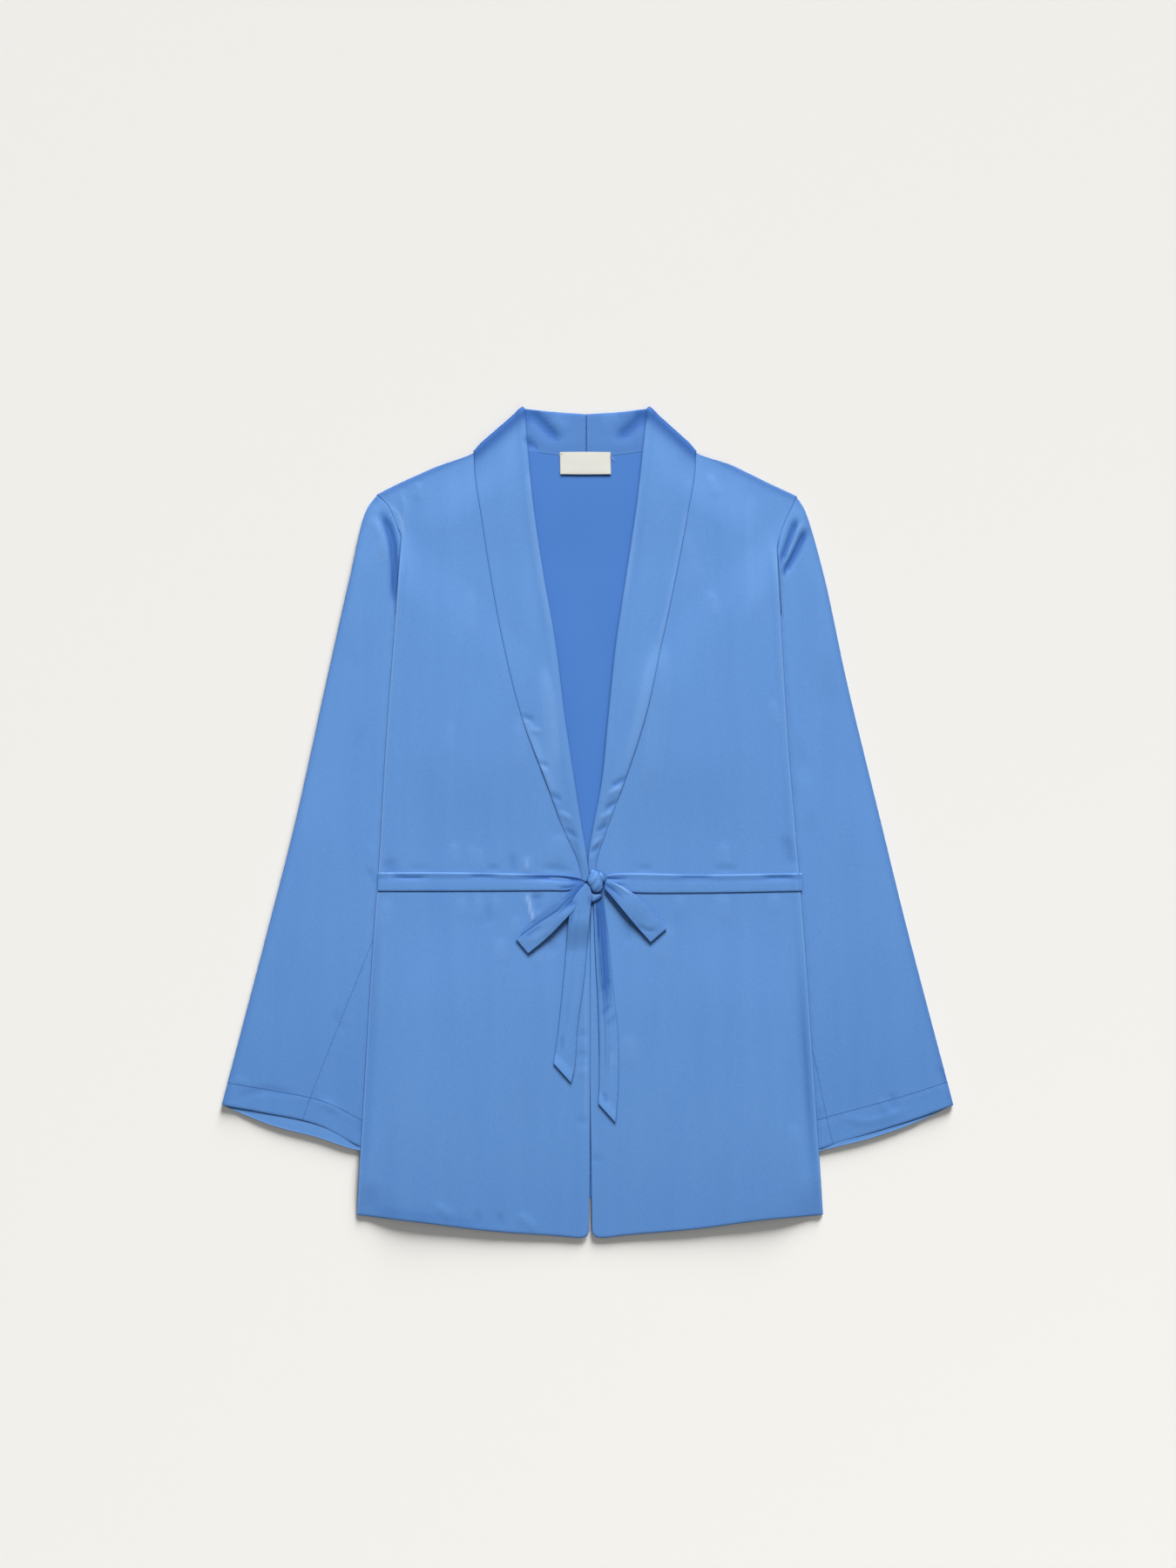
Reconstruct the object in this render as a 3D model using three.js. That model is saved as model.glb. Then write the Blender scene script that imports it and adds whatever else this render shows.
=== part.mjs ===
// Satin kimono jacket with a shawl collar and a tied belt, laid out on its back on a flat surface.
// Millimetres, +Z up. The origin is on the surface, under the middle of the laid-out jacket. +Y points to
// the neck, and left and right are as seen from above with the neck at the top.
// Every cloth piece is a wall of one thickness that follows the pile of cloth under it: the sleeves lie
// lowest at the sides, then the back, the two fronts, the collar's fall and the belt.
import * as THREE from "three";

const wall = 1.2; // cloth walls
const seamGap = 0.3; // between pieces that are sewn edge to edge
const layerGap = 0.5; // between pieces that lie on each other
const pitch = wall + layerGap; // from one layer to the next
const turnRadius = pitch / 2; // of a fold that brings one layer onto the next

const satin = { color: 0x5f96d8, roughness: 0.42, metalness: 0 };
const satinInside = { color: 0x4b81cc, roughness: 0.6, metalness: 0 };
const labelCloth = { color: 0xe4e3d8, roughness: 0.7, metalness: 0 };

const { smoothstep, lerp, clamp, degToRad, radToDeg } = THREE.MathUtils;
const sides = { left: -1, right: 1 };

// Outlines of the body seen from above. Each row is a point on the left half and its fellow on the right.
const armholeRows = [
  { left: [-205.5, 319], right: [204, 317.5] },
  { left: [-195, 309], right: [198.5, 305.5] },
  { left: [-190, 299], right: [192, 291.5] },
  { left: [-185.5, 288.5], right: [187.5, 278.5] },
  { left: [-181.5, 279], right: [184.5, 266] },
];
const sideRows = [
  { left: [-181.5, 279], right: [184.5, 266] },
  { left: [-187, 205], right: [188, 205] },
  { left: [-197, 71], right: [196, 71] },
  { left: [-203, -35], right: [205, -35] },
  { left: [-209, -116], right: [211.5, -116] },
  { left: [-225, -383], right: [229.5, -383] },
];
const shoulderRows = [
  { left: [-148, 346], right: [141, 347.5] },
  { left: [-182, 331], right: [175, 331] },
  { left: [-205.5, 319], right: [204, 317.5] },
];
const frontEdgeRows = [
  { left: [0.2, -46], right: [1.6, -46] },
  { left: [1.2, -62], right: [2.4, -62] },
  { left: [1.7, -110], right: [2.6, -110] },
  { left: [1.7, -220], right: [2.8, -220] },
  { left: [1.7, -300], right: [4, -300] },
  { left: [1.4, -399], right: [4.6, -399] },
];
const frontHemRows = [
  { left: [-225, -383], right: [229.5, -383] },
  { left: [-165, -390], right: [170, -388] },
  { left: [-97, -398.5], right: [107, -396.5] },
  { left: [-30, -403.5], right: [40, -402.5] },
  { left: [-7, -405.3], right: [13, -405.3] },
  { left: [-1, -403.8], right: [7, -403.8] },
  { left: [1.4, -399], right: [4.6, -399] },
];
const backHem = { rise: 17, quarterRise: 13, quarterX: 112, middleX: 2 }; // it arches up to the middle

// Outlines of the sleeves, whose inner parts lie under the body.
const sleeveEdgeRows = [
  { left: [-205.5, 319], right: [204, 317.5] },
  { left: [-216, 303], right: [212, 303] },
  { left: [-231, 241], right: [230, 241] },
  { left: [-254, 139], right: [252, 139] },
  { left: [-284, 3], right: [285, 3] },
  { left: [-310, -99], right: [310, -99] },
  { left: [-356.5, -276], right: [356.5, -276] },
];
const cuffRows = [
  { left: [-356.5, -276], right: [356.5, -276] },
  { left: [-318, -283], right: [318, -290] },
  { left: [-265, -294.5], right: [272, -304.5] },
  { left: [-229, -313], right: [229, -318] },
  { left: [-183, -335], right: [184, -336] },
];
const sleeveDive = { left: [-188, 200], right: [189, 200] }; // where the sleeve goes under the body
const sleeveInnerTop = { left: [-95, 110], right: [95, 110] };
const sleeveInnerFoot = { left: [-183, -335], right: [184, -336] };
const sleeveLength = 625;
const sleeveWidth = 170;
// The cuffs are turned up and stitched, and their under layer shows below the upper one.
const cuff = { depth: 23, extra: 0.5, under: { shows: { left: 13, right: 5 }, from: 0.93 } };

// The shawl collar from the waist to the side of the neck, where the last row is the fold to the back: its
// roll line, the width of the stand from there in to the neck seam, and its free edge.
const rollRows = [
  { stand: 4, left: [-0.6, -36], right: [0.8, -36] },
  { stand: 8, left: [-5.5, -5.5], right: [5.5, -5.5] },
  { stand: 12, left: [-12.3, 37], right: [13.5, 37] },
  { stand: 18, left: [-22.5, 105], right: [20.5, 105] },
  { stand: 24, left: [-31, 173], right: [27.6, 173] },
  { stand: 28, left: [-43, 241], right: [37.8, 241] },
  { stand: 34, left: [-53, 309], right: [48, 309] },
  { stand: 39, left: [-58, 360], right: [53.5, 360] },
  { stand: 45, left: [-63.3, 405], right: [60, 405] },
];
const freeEdgeRows = [
  { left: [-9.8, -37], right: [9.2, -37] },
  { left: [-24.2, -5.5], right: [19.5, -5.5] },
  { left: [-39.5, 37], right: [35, 37] },
  { left: [-65, 105], right: [57, 105] },
  { left: [-82, 173], right: [72, 173] },
  { left: [-94.8, 241], right: [86.3, 241] },
  { left: [-104, 300], right: [97.5, 300] },
  { left: [-109.5, 336], right: [104, 336] },
  { left: [-112.6, 362.5], right: [107.5, 362.5] },
];
const centreBack = { x: -1.3, rollY: 397.4, seamY: 356.6, edgeY: 337 };
const backNeck = { rollX: 32, rollY: 399.5, edgeX: 60, edgeY: 342, seamX: 68, seamY: 361 }; // halfway round
const label = { thick: 1, left: -26.8, right: 22.5, top: 360.5, foot: 339, hang: 0.35 };

// Heights in the pile. A body panel rises over the sleeve, and over the collar's fall at the neck.
const sleeveTop = 3.4; // outside of a sleeve's upper cloth where the body lies on it
const bodyOverSleeve = sleeveTop + layerGap;
const backRamp = { margin: 20, width: 55 }; // how far outside the sleeve the back comes down
const frontRamp = { margin: 20, width: 120 };
const neckPileReach = { foot: 245, full: 330, inX: 118, outX: 175 };
const neckFoldHeight = wall / 2 + 1.5 * pitch;
const frontAir = { flat: 1.8, most: 3.1, fromSide: 50, fromShoulder: 60 };
const underBelt = { y: -58, flat: 30, free: 130 }; // the belt holds the fronts down
const sleeveAir = { flat: 1.1, from: 20, to: 60, atFold: 2.7, foldWidth: 0.12 };

// Broad folds that stay in the cloth, each a soft ridge from one point to another.
const frontFolds = [
  { from: [-150, 250], to: [-165, 0], width: 26, height: 0.9 },
  { from: [-95, 150], to: [-118, -20], width: 24, height: 0.7 },
  { from: [140, 290], to: [165, 20], width: 26, height: 1 },
  { from: [85, 190], to: [105, -15], width: 24, height: 0.8 },
  { from: [-52, -95], to: [-64, -300], width: 22, height: 0.9 },
  { from: [-170, -110], to: [-185, -370], width: 26, height: 0.8 },
  { from: [62, -110], to: [80, -330], width: 24, height: 0.8 },
  { from: [180, -120], to: [195, -370], width: 26, height: 0.9 },
];
const sleeveFolds = [
  { from: [-215, 290], to: [-225, 150], width: 16, height: 1.2 },
  { from: [-262, 60], to: [-300, -190], width: 26, height: 1 },
  { from: [222, 285], to: [238, 110], width: 16, height: 1.2 },
  { from: [262, 60], to: [300, -190], width: 26, height: 1 },
];

// Belt and bow. Each row of a band holds a point on each of its two edges, a and b.
const beltWall = 1.6;
const beltBulge = 0.5;
const beltHalves = {
  left: [
    { a: [-204.5, -49], b: [-204.3, -67.6] },
    { a: [-130, -49], b: [-130, -67.5] },
    { a: [-39, -51], b: [-39, -67] },
    { a: [-19, -51.8], b: [-18, -66.7] },
    { a: [-9, -53.7], b: [-8.5, -63] },
    { a: [-2, -57], b: [-2.3, -60.5] },
  ],
  right: [
    { a: [209, -49.7], b: [209, -67.6] },
    { a: [107, -51], b: [107, -69.3] },
    { a: [46, -49.7], b: [46, -69] },
    { a: [26, -50.2], b: [25, -66.4] },
    { a: [19, -52], b: [18.3, -63.4] },
  ],
};
const loop = { length: 85, turn: 1.1, puff: 0.9, leavesBelt: 0.35, landed: 0.8 };
const loopLayers = {
  left: {
    upper: [
      { a: [-4.7, -60.8], b: [0.6, -65.6] },
      { a: [-11.5, -71.2], b: [-3.8, -76] },
      { a: [-19.3, -76.5], b: [-10.6, -83.7] },
      { a: [-29.7, -86.9], b: [-17.9, -90.8] },
      { a: [-45.5, -97.3], b: [-38.8, -112.3] },
      { a: [-70, -114.8], b: [-58.3, -128.5] },
    ],
    lower: [
      { a: [-4.3, -58.2], b: [0.6, -64.6] },
      { a: [-14, -64.8], b: [-4, -76] },
      { a: [-27, -73.9], b: [-13, -87] },
      { a: [-45.3, -88.8], b: [-32, -101.5] },
      { a: [-58.2, -99.9], b: [-46, -113] },
      { a: [-70, -114.8], b: [-58.3, -128.5] },
    ],
  },
  right: {
    upper: [
      { a: [16.8, -57.6], b: [16.8, -65.6] },
      { a: [25, -58.9], b: [21, -70] },
      { a: [44.5, -69.3], b: [30, -80.6] },
      { a: [56.2, -80.3], b: [41, -94] },
      { a: [65.3, -90.5], b: [50, -104.5] },
      { a: [76.8, -104.5], b: [61.6, -117.5] },
    ],
    lower: [
      { a: [16.8, -58.5], b: [16.2, -67] },
      { a: [24, -61], b: [19.5, -71.5] },
      { a: [42.5, -71.5], b: [27.6, -81.6] },
      { a: [54.5, -82], b: [38.8, -95.6] },
      { a: [64.5, -92], b: [48.8, -105.6] },
      { a: [76.8, -104.5], b: [61.6, -117.5] },
    ],
  },
};
const tail = { bulge: 0.4, overLoop: { left: 7.6, right: 1.1 }, loopY: -93, landedY: -128 };
const pleat = { height: { left: 0, right: 1 }, across: 0.22, width: 0.14, fromY: -100, toY: -240 };
const tailRows = {
  left: [
    { a: [-1.6, -59.6], b: [2, -63.2] },
    { a: [-7.6, -65.9], b: [4, -70] },
    { a: [-14.5, -76.1], b: [3.3, -77.8] },
    { a: [-17.9, -92.2], b: [2.1, -92.2] },
    { a: [-20, -111.8], b: [0.4, -111.8] },
    { a: [-23.2, -150], b: [-3, -150] },
    { a: [-28.5, -201], b: [-9.8, -201] },
    { a: [-32.2, -228], b: [-12.3, -238] },
    { a: [-33.3, -235], b: [-16, -254] },
  ],
  right: [
    { a: [5.5, -71], b: [14.9, -70.4] },
    { a: [5.9, -86.3], b: [17.1, -86.3] },
    { a: [6.7, -107.5], b: [20, -107.5] },
    { a: [7.9, -138], b: [22.8, -138] },
    { a: [9.9, -173.8], b: [26.3, -173.8] },
    { a: [11, -208.7], b: [29.8, -208.7] },
    { a: [11.3, -255], b: [29.8, -262] },
    { a: [10.4, -274], b: [27.2, -292.8] },
  ],
};
const knot = { centre: [7.2, -57.8], rise: 9, rim: 1, cells: 12 };
const knotRows = [
  { turn: 0, reach: 8.4 },
  { turn: 12, reach: 10.7 },
  { turn: 31, reach: 11.5 },
  { turn: 64, reach: 9.9 },
  { turn: 90, reach: 10.4 },
  { turn: 146, reach: 8.4 },
  { turn: 180, reach: 6.6 },
  { turn: 225, reach: 6.1 },
  { turn: 255, reach: 8.8 },
  { turn: 279, reach: 10.7 },
  { turn: 305, reach: 10.4 },
  { turn: 324, reach: 9.3 },
  { turn: 360, reach: 8.4 },
];

const plan = ([x, y]) => new THREE.Vector3(x, y, 0);

function evenly(count, from = 0, to = 1) {
  return Array.from({ length: count + 1 }, (_, k) => lerp(from, to, k / count));
}

// A smooth curve through points, read by its share of length.
function through(points) {
  const curve = new THREE.CatmullRomCurve3(points, false, "centripetal");
  curve.arcLengthDivisions = 400;
  return (share) => curve.getPointAt(clamp(share, 0, 1));
}

const rowsOf = (rows, side) => through(rows.map((row) => plan(row[side])));

// Curves end to end, with the share of the whole at which each one ends.
function joined(parts) {
  return (share) => {
    const k = Math.max(0, parts.findIndex(({ until }) => share <= until));
    const from = k ? parts[k - 1].until : 0;
    return parts[k].curve((share - from) / (parts[k].until - from));
  };
}

// A four-sided patch, filled in between its edges: u runs along top and foot, v down near and far.
function patch(top, foot, near, far) {
  const [a, b, c, d] = [top(0), top(1), foot(0), foot(1)];
  return (u, v) =>
    near(v).multiplyScalar(1 - u)
      .addScaledVector(far(v), u)
      .addScaledVector(top(u), 1 - v)
      .addScaledVector(foot(u), v)
      .addScaledVector(a, -(1 - u) * (1 - v))
      .addScaledVector(b, -u * (1 - v))
      .addScaledVector(c, -(1 - u) * v)
      .addScaledVector(d, -u * v);
}

// How far a point is inside a line from a to b, which has its inside on the side of the point within.
function inside(x, y, a, b, within) {
  const along = Math.hypot(b[0] - a[0], b[1] - a[1]);
  const across = (p, q) => ((b[0] - a[0]) * (q - a[1]) - (b[1] - a[1]) * (p - a[0])) / along;
  return across(x, y) * Math.sign(across(...within));
}

// How much of the sleeve's height a point of the body has: all of it up to a margin outside the sleeve, and
// then less, down to nothing over the ramp's width.
function sleeveCover(x, y, { margin, width }) {
  const side = x < 0 ? "left" : "right";
  const lines = [
    [sleeveInnerTop[side], sleeveInnerFoot[side]],
    [sleeveDive[side], sleeveInnerTop[side]],
    [cuffRows[0][side], sleeveInnerFoot[side]],
  ];
  const within = [(sleeveInnerTop[side][0] + cuffRows[0][side][0]) / 2, 0];
  const share = ([a, b]) => smoothstep(inside(x, y, a, b, within), -margin - width, -margin);
  return lines.reduce((product, line) => product * share(line), 1);
}

function neckPile(x, y) {
  const { foot, full, inX, outX } = neckPileReach;
  return smoothstep(y, foot, full) * (1 - smoothstep(Math.abs(x), inX, outX));
}

function sideDistance(x, y) {
  const side = x < 0 ? "left" : "right";
  const rows = sideRows.map((row) => row[side]);
  const below = rows.findIndex((row) => row[1] < y);
  const k = clamp(below < 0 ? rows.length - 1 : below, 1, rows.length - 1);
  const [upper, lower] = [rows[k - 1], rows[k]];
  return (lerp(upper[0], lower[0], (upper[1] - y) / (upper[1] - lower[1])) - x) * sides[side];
}

// The shoulders slope down from neckTop by slope for each millimetre out.
function shoulderDistance(x, y, neckTop = 407, slope = 0.425) {
  return neckTop - slope * Math.abs(x) - y;
}

function foldHeight(folds, x, y) {
  return folds.reduce((sum, { from, to, width, height }) => {
    const [dx, dy] = [to[0] - from[0], to[1] - from[1]];
    const length = Math.hypot(dx, dy);
    const along = ((x - from[0]) * dx + (y - from[1]) * dy) / length ** 2;
    const across = ((x - from[0]) * dy - (y - from[1]) * dx) / length;
    const ends = smoothstep(along, 0, 1 / 3) * (1 - smoothstep(along, 2 / 3, 1));
    return sum + height * ends * Math.exp(-((across / width) ** 2));
  }, 0);
}

// Heights of the middle of each panel's wall.
function backHeight(x, y) {
  return wall / 2 + pitch * neckPile(x, y) + bodyOverSleeve * sleeveCover(x, y, backRamp);
}

// The fronts are a seam's gap from the back along the side and shoulder seams, and bulge away from there.
function frontHeight(x, y) {
  const { flat, most, fromSide, fromShoulder } = frontAir;
  const fromSeams =
    smoothstep(sideDistance(x, y), 0, fromSide) * smoothstep(shoulderDistance(x, y), 0, fromShoulder);
  const fromBelt = smoothstep(Math.abs(y - underBelt.y), underBelt.flat, underBelt.free);
  const free = fromBelt * (flat + foldHeight(frontFolds, x, y));
  const bridge = bodyOverSleeve * (sleeveCover(x, y, frontRamp) - sleeveCover(x, y, backRamp));
  const air = most * Math.tanh((free + bridge) / most);
  return backHeight(x, y) + wall + seamGap + fromSeams * (layerGap - seamGap + air);
}

const frontTop = (x, y) => frontHeight(x, y) + wall / 2;

function signedVolume(positions, index) {
  const corner = (k) => new THREE.Vector3().fromArray(positions, 3 * index[k]);
  let six = 0;
  for (let k = 0; k < index.length; k += 3) six += corner(k).dot(corner(k + 1).cross(corner(k + 2)));
  return six / 6;
}

// A closed solid between two grids of points. A wrapped one joins each row's end to its start.
function slab(lower, upper, wrapped = false) {
  const [rows, columns] = [lower.length, lower[0].length];
  const positions = [...lower.flat(), ...upper.flat()].flatMap((p) => [p.x, p.y, p.z]);
  const at = (face, i, j) => face * rows * columns + i * columns + (j % columns);
  const index = [];
  const quad = (a, b, c, d) => index.push(a, b, c, a, c, d);
  const cells = wrapped ? columns : columns - 1;
  for (let j = 0; j < cells; j++) {
    for (let i = 0; i < rows - 1; i++) {
      quad(at(1, i, j), at(1, i + 1, j), at(1, i + 1, j + 1), at(1, i, j + 1));
      quad(at(0, i, j), at(0, i, j + 1), at(0, i + 1, j + 1), at(0, i + 1, j));
    }
    quad(at(0, 0, j), at(1, 0, j), at(1, 0, j + 1), at(0, 0, j + 1));
    quad(at(0, rows - 1, j + 1), at(1, rows - 1, j + 1), at(1, rows - 1, j), at(0, rows - 1, j));
  }
  const last = columns - 1;
  for (let i = 0; i < rows - 1 && !wrapped; i++) {
    quad(at(0, i + 1, 0), at(1, i + 1, 0), at(1, i, 0), at(0, i, 0));
    quad(at(0, i, last), at(1, i, last), at(1, i + 1, last), at(0, i + 1, last));
  }
  const geometry = new THREE.BufferGeometry();
  geometry.setAttribute("position", new THREE.Float32BufferAttribute(positions, 3));
  geometry.setIndex(signedVolume(positions, index) < 0 ? index.reverse() : index);
  geometry.computeVertexNormals();
  return geometry;
}

// A wall that lies flat: place(u, v) spreads its points, and height(x, y, u) is the height of its middle.
function laidWall(place, height, columns, rows, thickness = wall) {
  const face = (offset) =>
    rows.map((v) =>
      columns.map((u) => {
        const p = place(u, v);
        return p.setZ(height(p.x, p.y, u) + offset);
      }),
    );
  return slab(face(-thickness / 2), face(thickness / 2));
}

// A wall about a bent middle surface, given as a grid of points.
function bentWall(middle) {
  const [lastRow, lastColumn] = [middle.length - 1, middle[0].length - 1];
  const tangent = (i, j, di, dj) => {
    const ahead = middle[Math.min(i + di, lastRow)][Math.min(j + dj, lastColumn)];
    return ahead.clone().sub(middle[Math.max(i - di, 0)][Math.max(j - dj, 0)]);
  };
  const face = (offset) =>
    middle.map((row, i) =>
      row.map((p, j) => {
        const normal = tangent(i, j, 1, 0).cross(tangent(i, j, 0, 1)).normalize();
        return p.clone().addScaledVector(normal, offset);
      }),
    );
  return slab(face(-wall / 2), face(wall / 2));
}

function piece(name, geometry, finish) {
  const mesh = new THREE.Mesh(geometry, new THREE.MeshStandardMaterial(finish));
  mesh.name = name;
  return mesh;
}

// The back and both fronts share their rows, so that their side seams lie on each other, and the sleeves'
// columns match the rows at the armhole.
const armhole = { bodyShare: 0.1, sleeveShare: 0.3, steps: [0, 0.125, 0.25, 0.5, 0.75, 1] };
const bodyRows = [...armhole.steps.map((step) => step * armhole.bodyShare), ...evenly(19, 0.14, 1)];

function sideEdge(side) {
  return joined([
    { curve: rowsOf(armholeRows, side), until: armhole.bodyShare },
    { curve: rowsOf(sideRows, side), until: 1 },
  ]);
}

// The line over which the collar folds to the back, set in from the outline by the fold's own radius.
function neckFoldLine(side) {
  const [roll, edge] = [plan(rollRows.at(-1)[side]), plan(freeEdgeRows.at(-1)[side])];
  const along = edge.clone().sub(roll).normalize();
  const inward = new THREE.Vector3(-along.y, along.x, 0).multiplyScalar(-sides[side]);
  const inset = inward.clone().multiplyScalar(1.5 * pitch + wall / 2);
  return { roll: roll.add(inset), edge: edge.add(inset), along, inward, stand: rollRows.at(-1).stand };
}

function neckPoint(side) {
  const { roll, along, stand } = neckFoldLine(side);
  return roll.clone().addScaledVector(along, stand + seamGap);
}

// The front's neck seam, from the waist up, a seam's gap beyond the stand.
function neckSeamPoints(side) {
  const points = rollRows.slice(0, -1).map(({ stand, [side]: roll }, k) => {
    const along = plan(freeEdgeRows[k][side]).sub(plan(roll)).normalize();
    return plan(roll).addScaledVector(along, stand + seamGap);
  });
  return [...points, neckPoint(side)];
}

function shoulderLine(side) {
  return through([neckPoint(side), neckFoldLine(side).edge, ...shoulderRows.map((row) => plan(row[side]))]);
}

function frontPiece(side) {
  const shoulder = shoulderLine(side);
  const neckSeam = neckSeamPoints(side);
  const neckline = through([...neckSeam].reverse());
  const edge = through([neckSeam[0], ...frontEdgeRows.map((row) => plan(row[side]))]);
  const inner = joined([
    { curve: neckline, until: 0.55 },
    { curve: edge, until: 1 },
  ]);
  const place = patch((u) => shoulder(1 - u), rowsOf(frontHemRows, side), sideEdge(side), inner);
  const columns = [0, 0.02, 0.06, 0.12, ...evenly(8, 0.2, 0.9), 0.97, 1];
  return piece(`front_${side}`, laidWall(place, frontHeight, columns, bodyRows), satin);
}

function backPiece() {
  const { seamX, seamY } = backNeck;
  const neckSeam = through([
    neckPoint("left"),
    plan([-seamX, seamY]),
    plan([centreBack.x, centreBack.seamY - seamGap]),
    plan([seamX, seamY]),
    neckPoint("right"),
  ]);
  const [left, right] = [shoulderLine("left"), shoulderLine("right")];
  const shoulderShare = 0.27;
  const top = joined([
    { curve: (share) => left(1 - share), until: shoulderShare },
    { curve: neckSeam, until: 1 - shoulderShare },
    { curve: right, until: 1 },
  ]);
  const { rise, quarterRise, quarterX, middleX } = backHem;
  const corner = sideRows.at(-1);
  const hem = through([
    plan(corner.left),
    plan([-quarterX, corner.left[1] + quarterRise]),
    plan([middleX, corner.left[1] + rise]),
    plan([quarterX, corner.right[1] + quarterRise]),
    plan(corner.right),
  ]);
  const half = [0, 0.012, 0.035, 0.07, 0.12, 0.17, 0.22, shoulderShare, 0.34, 0.42];
  const columns = [...half, 0.5, ...half.map((u) => 1 - u).reverse()];
  const place = patch(top, hem, sideEdge("left"), sideEdge("right"));
  return piece("back", laidWall(place, backHeight, columns, bodyRows), satinInside);
}

// One section across the collar, from its free edge over the roll to the neck seam, as points each some way
// in from the roll and some way up from the layer that the neck seam is in.
function collarSection(roll, edge, stand, lift) {
  const across = edge.clone().sub(roll);
  const width = across.length();
  across.normalize();
  const inset = turnRadius + wall / 2;
  const fall = evenly(5, width, inset).map((away) => [away, 2 * turnRadius]);
  const turn = [45, 0, -45].map((degrees) => {
    const angle = degToRad(degrees);
    return [inset - turnRadius * Math.cos(angle), turnRadius + turnRadius * Math.sin(angle)];
  });
  const under = evenly(3, inset, stand).map((away) => [away, 0]);
  const section = [...fall, ...turn, ...under];
  return section.map(([away, up]) => lift(roll.clone().addScaledVector(across, away), up));
}

// Each half of the collar is swept from the waist up to the side of the neck, over the fold there, and along
// the back of the neck to the seam at the centre back.
function collarPiece(side) {
  const fold = neckFoldLine(side);
  const onFront = (p, up) => p.setZ(frontHeight(p.x, p.y) + up);
  const overFold = (angle) => (p, up) =>
    p.addScaledVector(fold.inward, -(pitch / 2 + up) * Math.sin(angle))
      .setZ(neckFoldHeight + (pitch / 2 + up) * Math.cos(angle));
  const onBack = (p, up) => p.setZ(neckFoldHeight - pitch / 2 - up);

  const rollLine = through([...rollRows.slice(0, -1).map((row) => plan(row[side])), fold.roll]);
  const edgeLine = through([...freeEdgeRows.slice(0, -1).map((row) => plan(row[side])), fold.edge]);
  const stands = rollRows.map((row) => row.stand);
  const standAt = (share) => {
    const place = share * (stands.length - 1);
    const k = Math.min(Math.floor(place), stands.length - 2);
    return lerp(stands[k], stands[k + 1], place - k);
  };
  const front = evenly(17).slice(0, -1)
    .map((share) => collarSection(rollLine(share), edgeLine(share), standAt(share), onFront));
  const over = evenly(6)
    .map((share) => collarSection(fold.roll, fold.edge, fold.stand, overFold(share * Math.PI)));

  const out = sides[side];
  const middle = centreBack.x + out * (seamGap / 2);
  const { rollX, rollY, edgeX, edgeY } = backNeck;
  const backRoll = through([fold.roll, plan([out * rollX, rollY]), plan([middle, centreBack.rollY])]);
  const backEdge = through([fold.edge, plan([out * edgeX, edgeY]), plan([middle, centreBack.edgeY])]);
  const backStand = (share) => lerp(fold.stand, centreBack.rollY - centreBack.seamY, share);
  const back = evenly(6).slice(1)
    .map((share) => collarSection(backRoll(share), backEdge(share), backStand(share), onBack));
  return piece(`collar_${side}`, bentWall([...front, ...over, ...back]), satin);
}

// Height of the outside of a sleeve's upper cloth: u runs across the sleeve from its outer fold, v down it.
function sleeveHeight(x, y, u, v) {
  const outsideBody = -sideDistance(x, y);
  const { flat, from, to, atFold, foldWidth } = sleeveAir;
  const air = smoothstep(outsideBody, from, to) * (flat + foldHeight(sleeveFolds, x, y));
  const laid = lerp(atFold, sleeveTop + air, Math.sqrt(smoothstep(u, -0.02, foldWidth)));
  const alongArmhole = 1 - smoothstep(u, armhole.sleeveShare, 0.38);
  const atArmhole = alongArmhole * (1 - smoothstep(v, 0, 0.05)) * smoothstep(outsideBody, -12, 0);
  const hemLine = 1 - cuff.depth / sleeveLength;
  const hem = outsideBody > 8 ? cuff.extra * smoothstep(v, hemLine - 0.004, hemLine) : 0;
  return lerp(laid, frontTop(x, y), atArmhole) + hem;
}

// A sleeve is a flattened tube. Its upper cloth meets the front at the armhole, and dives under the body.
function sleevePiece(side) {
  const out = new THREE.Vector3(sides[side] * 0.35, -0.2, 0);
  const dive = plan(sleeveDive[side]).add(out);
  const innerTop = plan(sleeveInnerTop[side]);
  const { sleeveShare, steps } = armhole;
  const diveShare = 0.45;
  const top = joined([
    { curve: (share) => rowsOf(armholeRows, side)(share).add(out), until: sleeveShare },
    { curve: through([plan(armholeRows.at(-1)[side]).add(out), dive]), until: diveShare },
    { curve: through([dive, innerTop]), until: 1 },
  ]);
  const outerEdge = rowsOf(sleeveEdgeRows, side);
  const outer = (v) => outerEdge(v).addScaledVector(out, 1 - v);
  const place = patch(top, rowsOf(cuffRows, side), outer, through([innerTop, plan(sleeveInnerFoot[side])]));
  const columns = [...steps.map((step) => step * sleeveShare), 0.375, diveShare, 0.6, 0.8, 1];
  const hemLine = 1 - cuff.depth / sleeveLength;
  const rows = [0, 0.02, 0.05, 0.09, 0.14, ...evenly(10, 0.2, 0.93), hemLine - 0.004, hemLine, 0.985, 1];
  const { shows, from } = cuff.under;
  const drop = (u, v) => shows[side] * Math.sin(Math.PI * Math.min(u / 0.85, 1)) * smoothstep(v, from, 1);
  const ring = (inset) =>
    rows.map((v) => {
      const spread = (u) => lerp(inset / sleeveWidth, 1 - inset / sleeveWidth, u);
      const upper = columns.map((u) => {
        const p = place(spread(u), v);
        return p.setZ(sleeveHeight(p.x, p.y, u, v) - inset);
      });
      const under = [...columns].reverse().map((u) => {
        const p = place(spread(u), v);
        return p.setY(p.y - drop(u, v)).setZ(inset);
      });
      return [...upper, ...under];
    });
  return piece(`sleeve_${side}`, slab(ring(wall), ring(0), true), satin);
}

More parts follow.
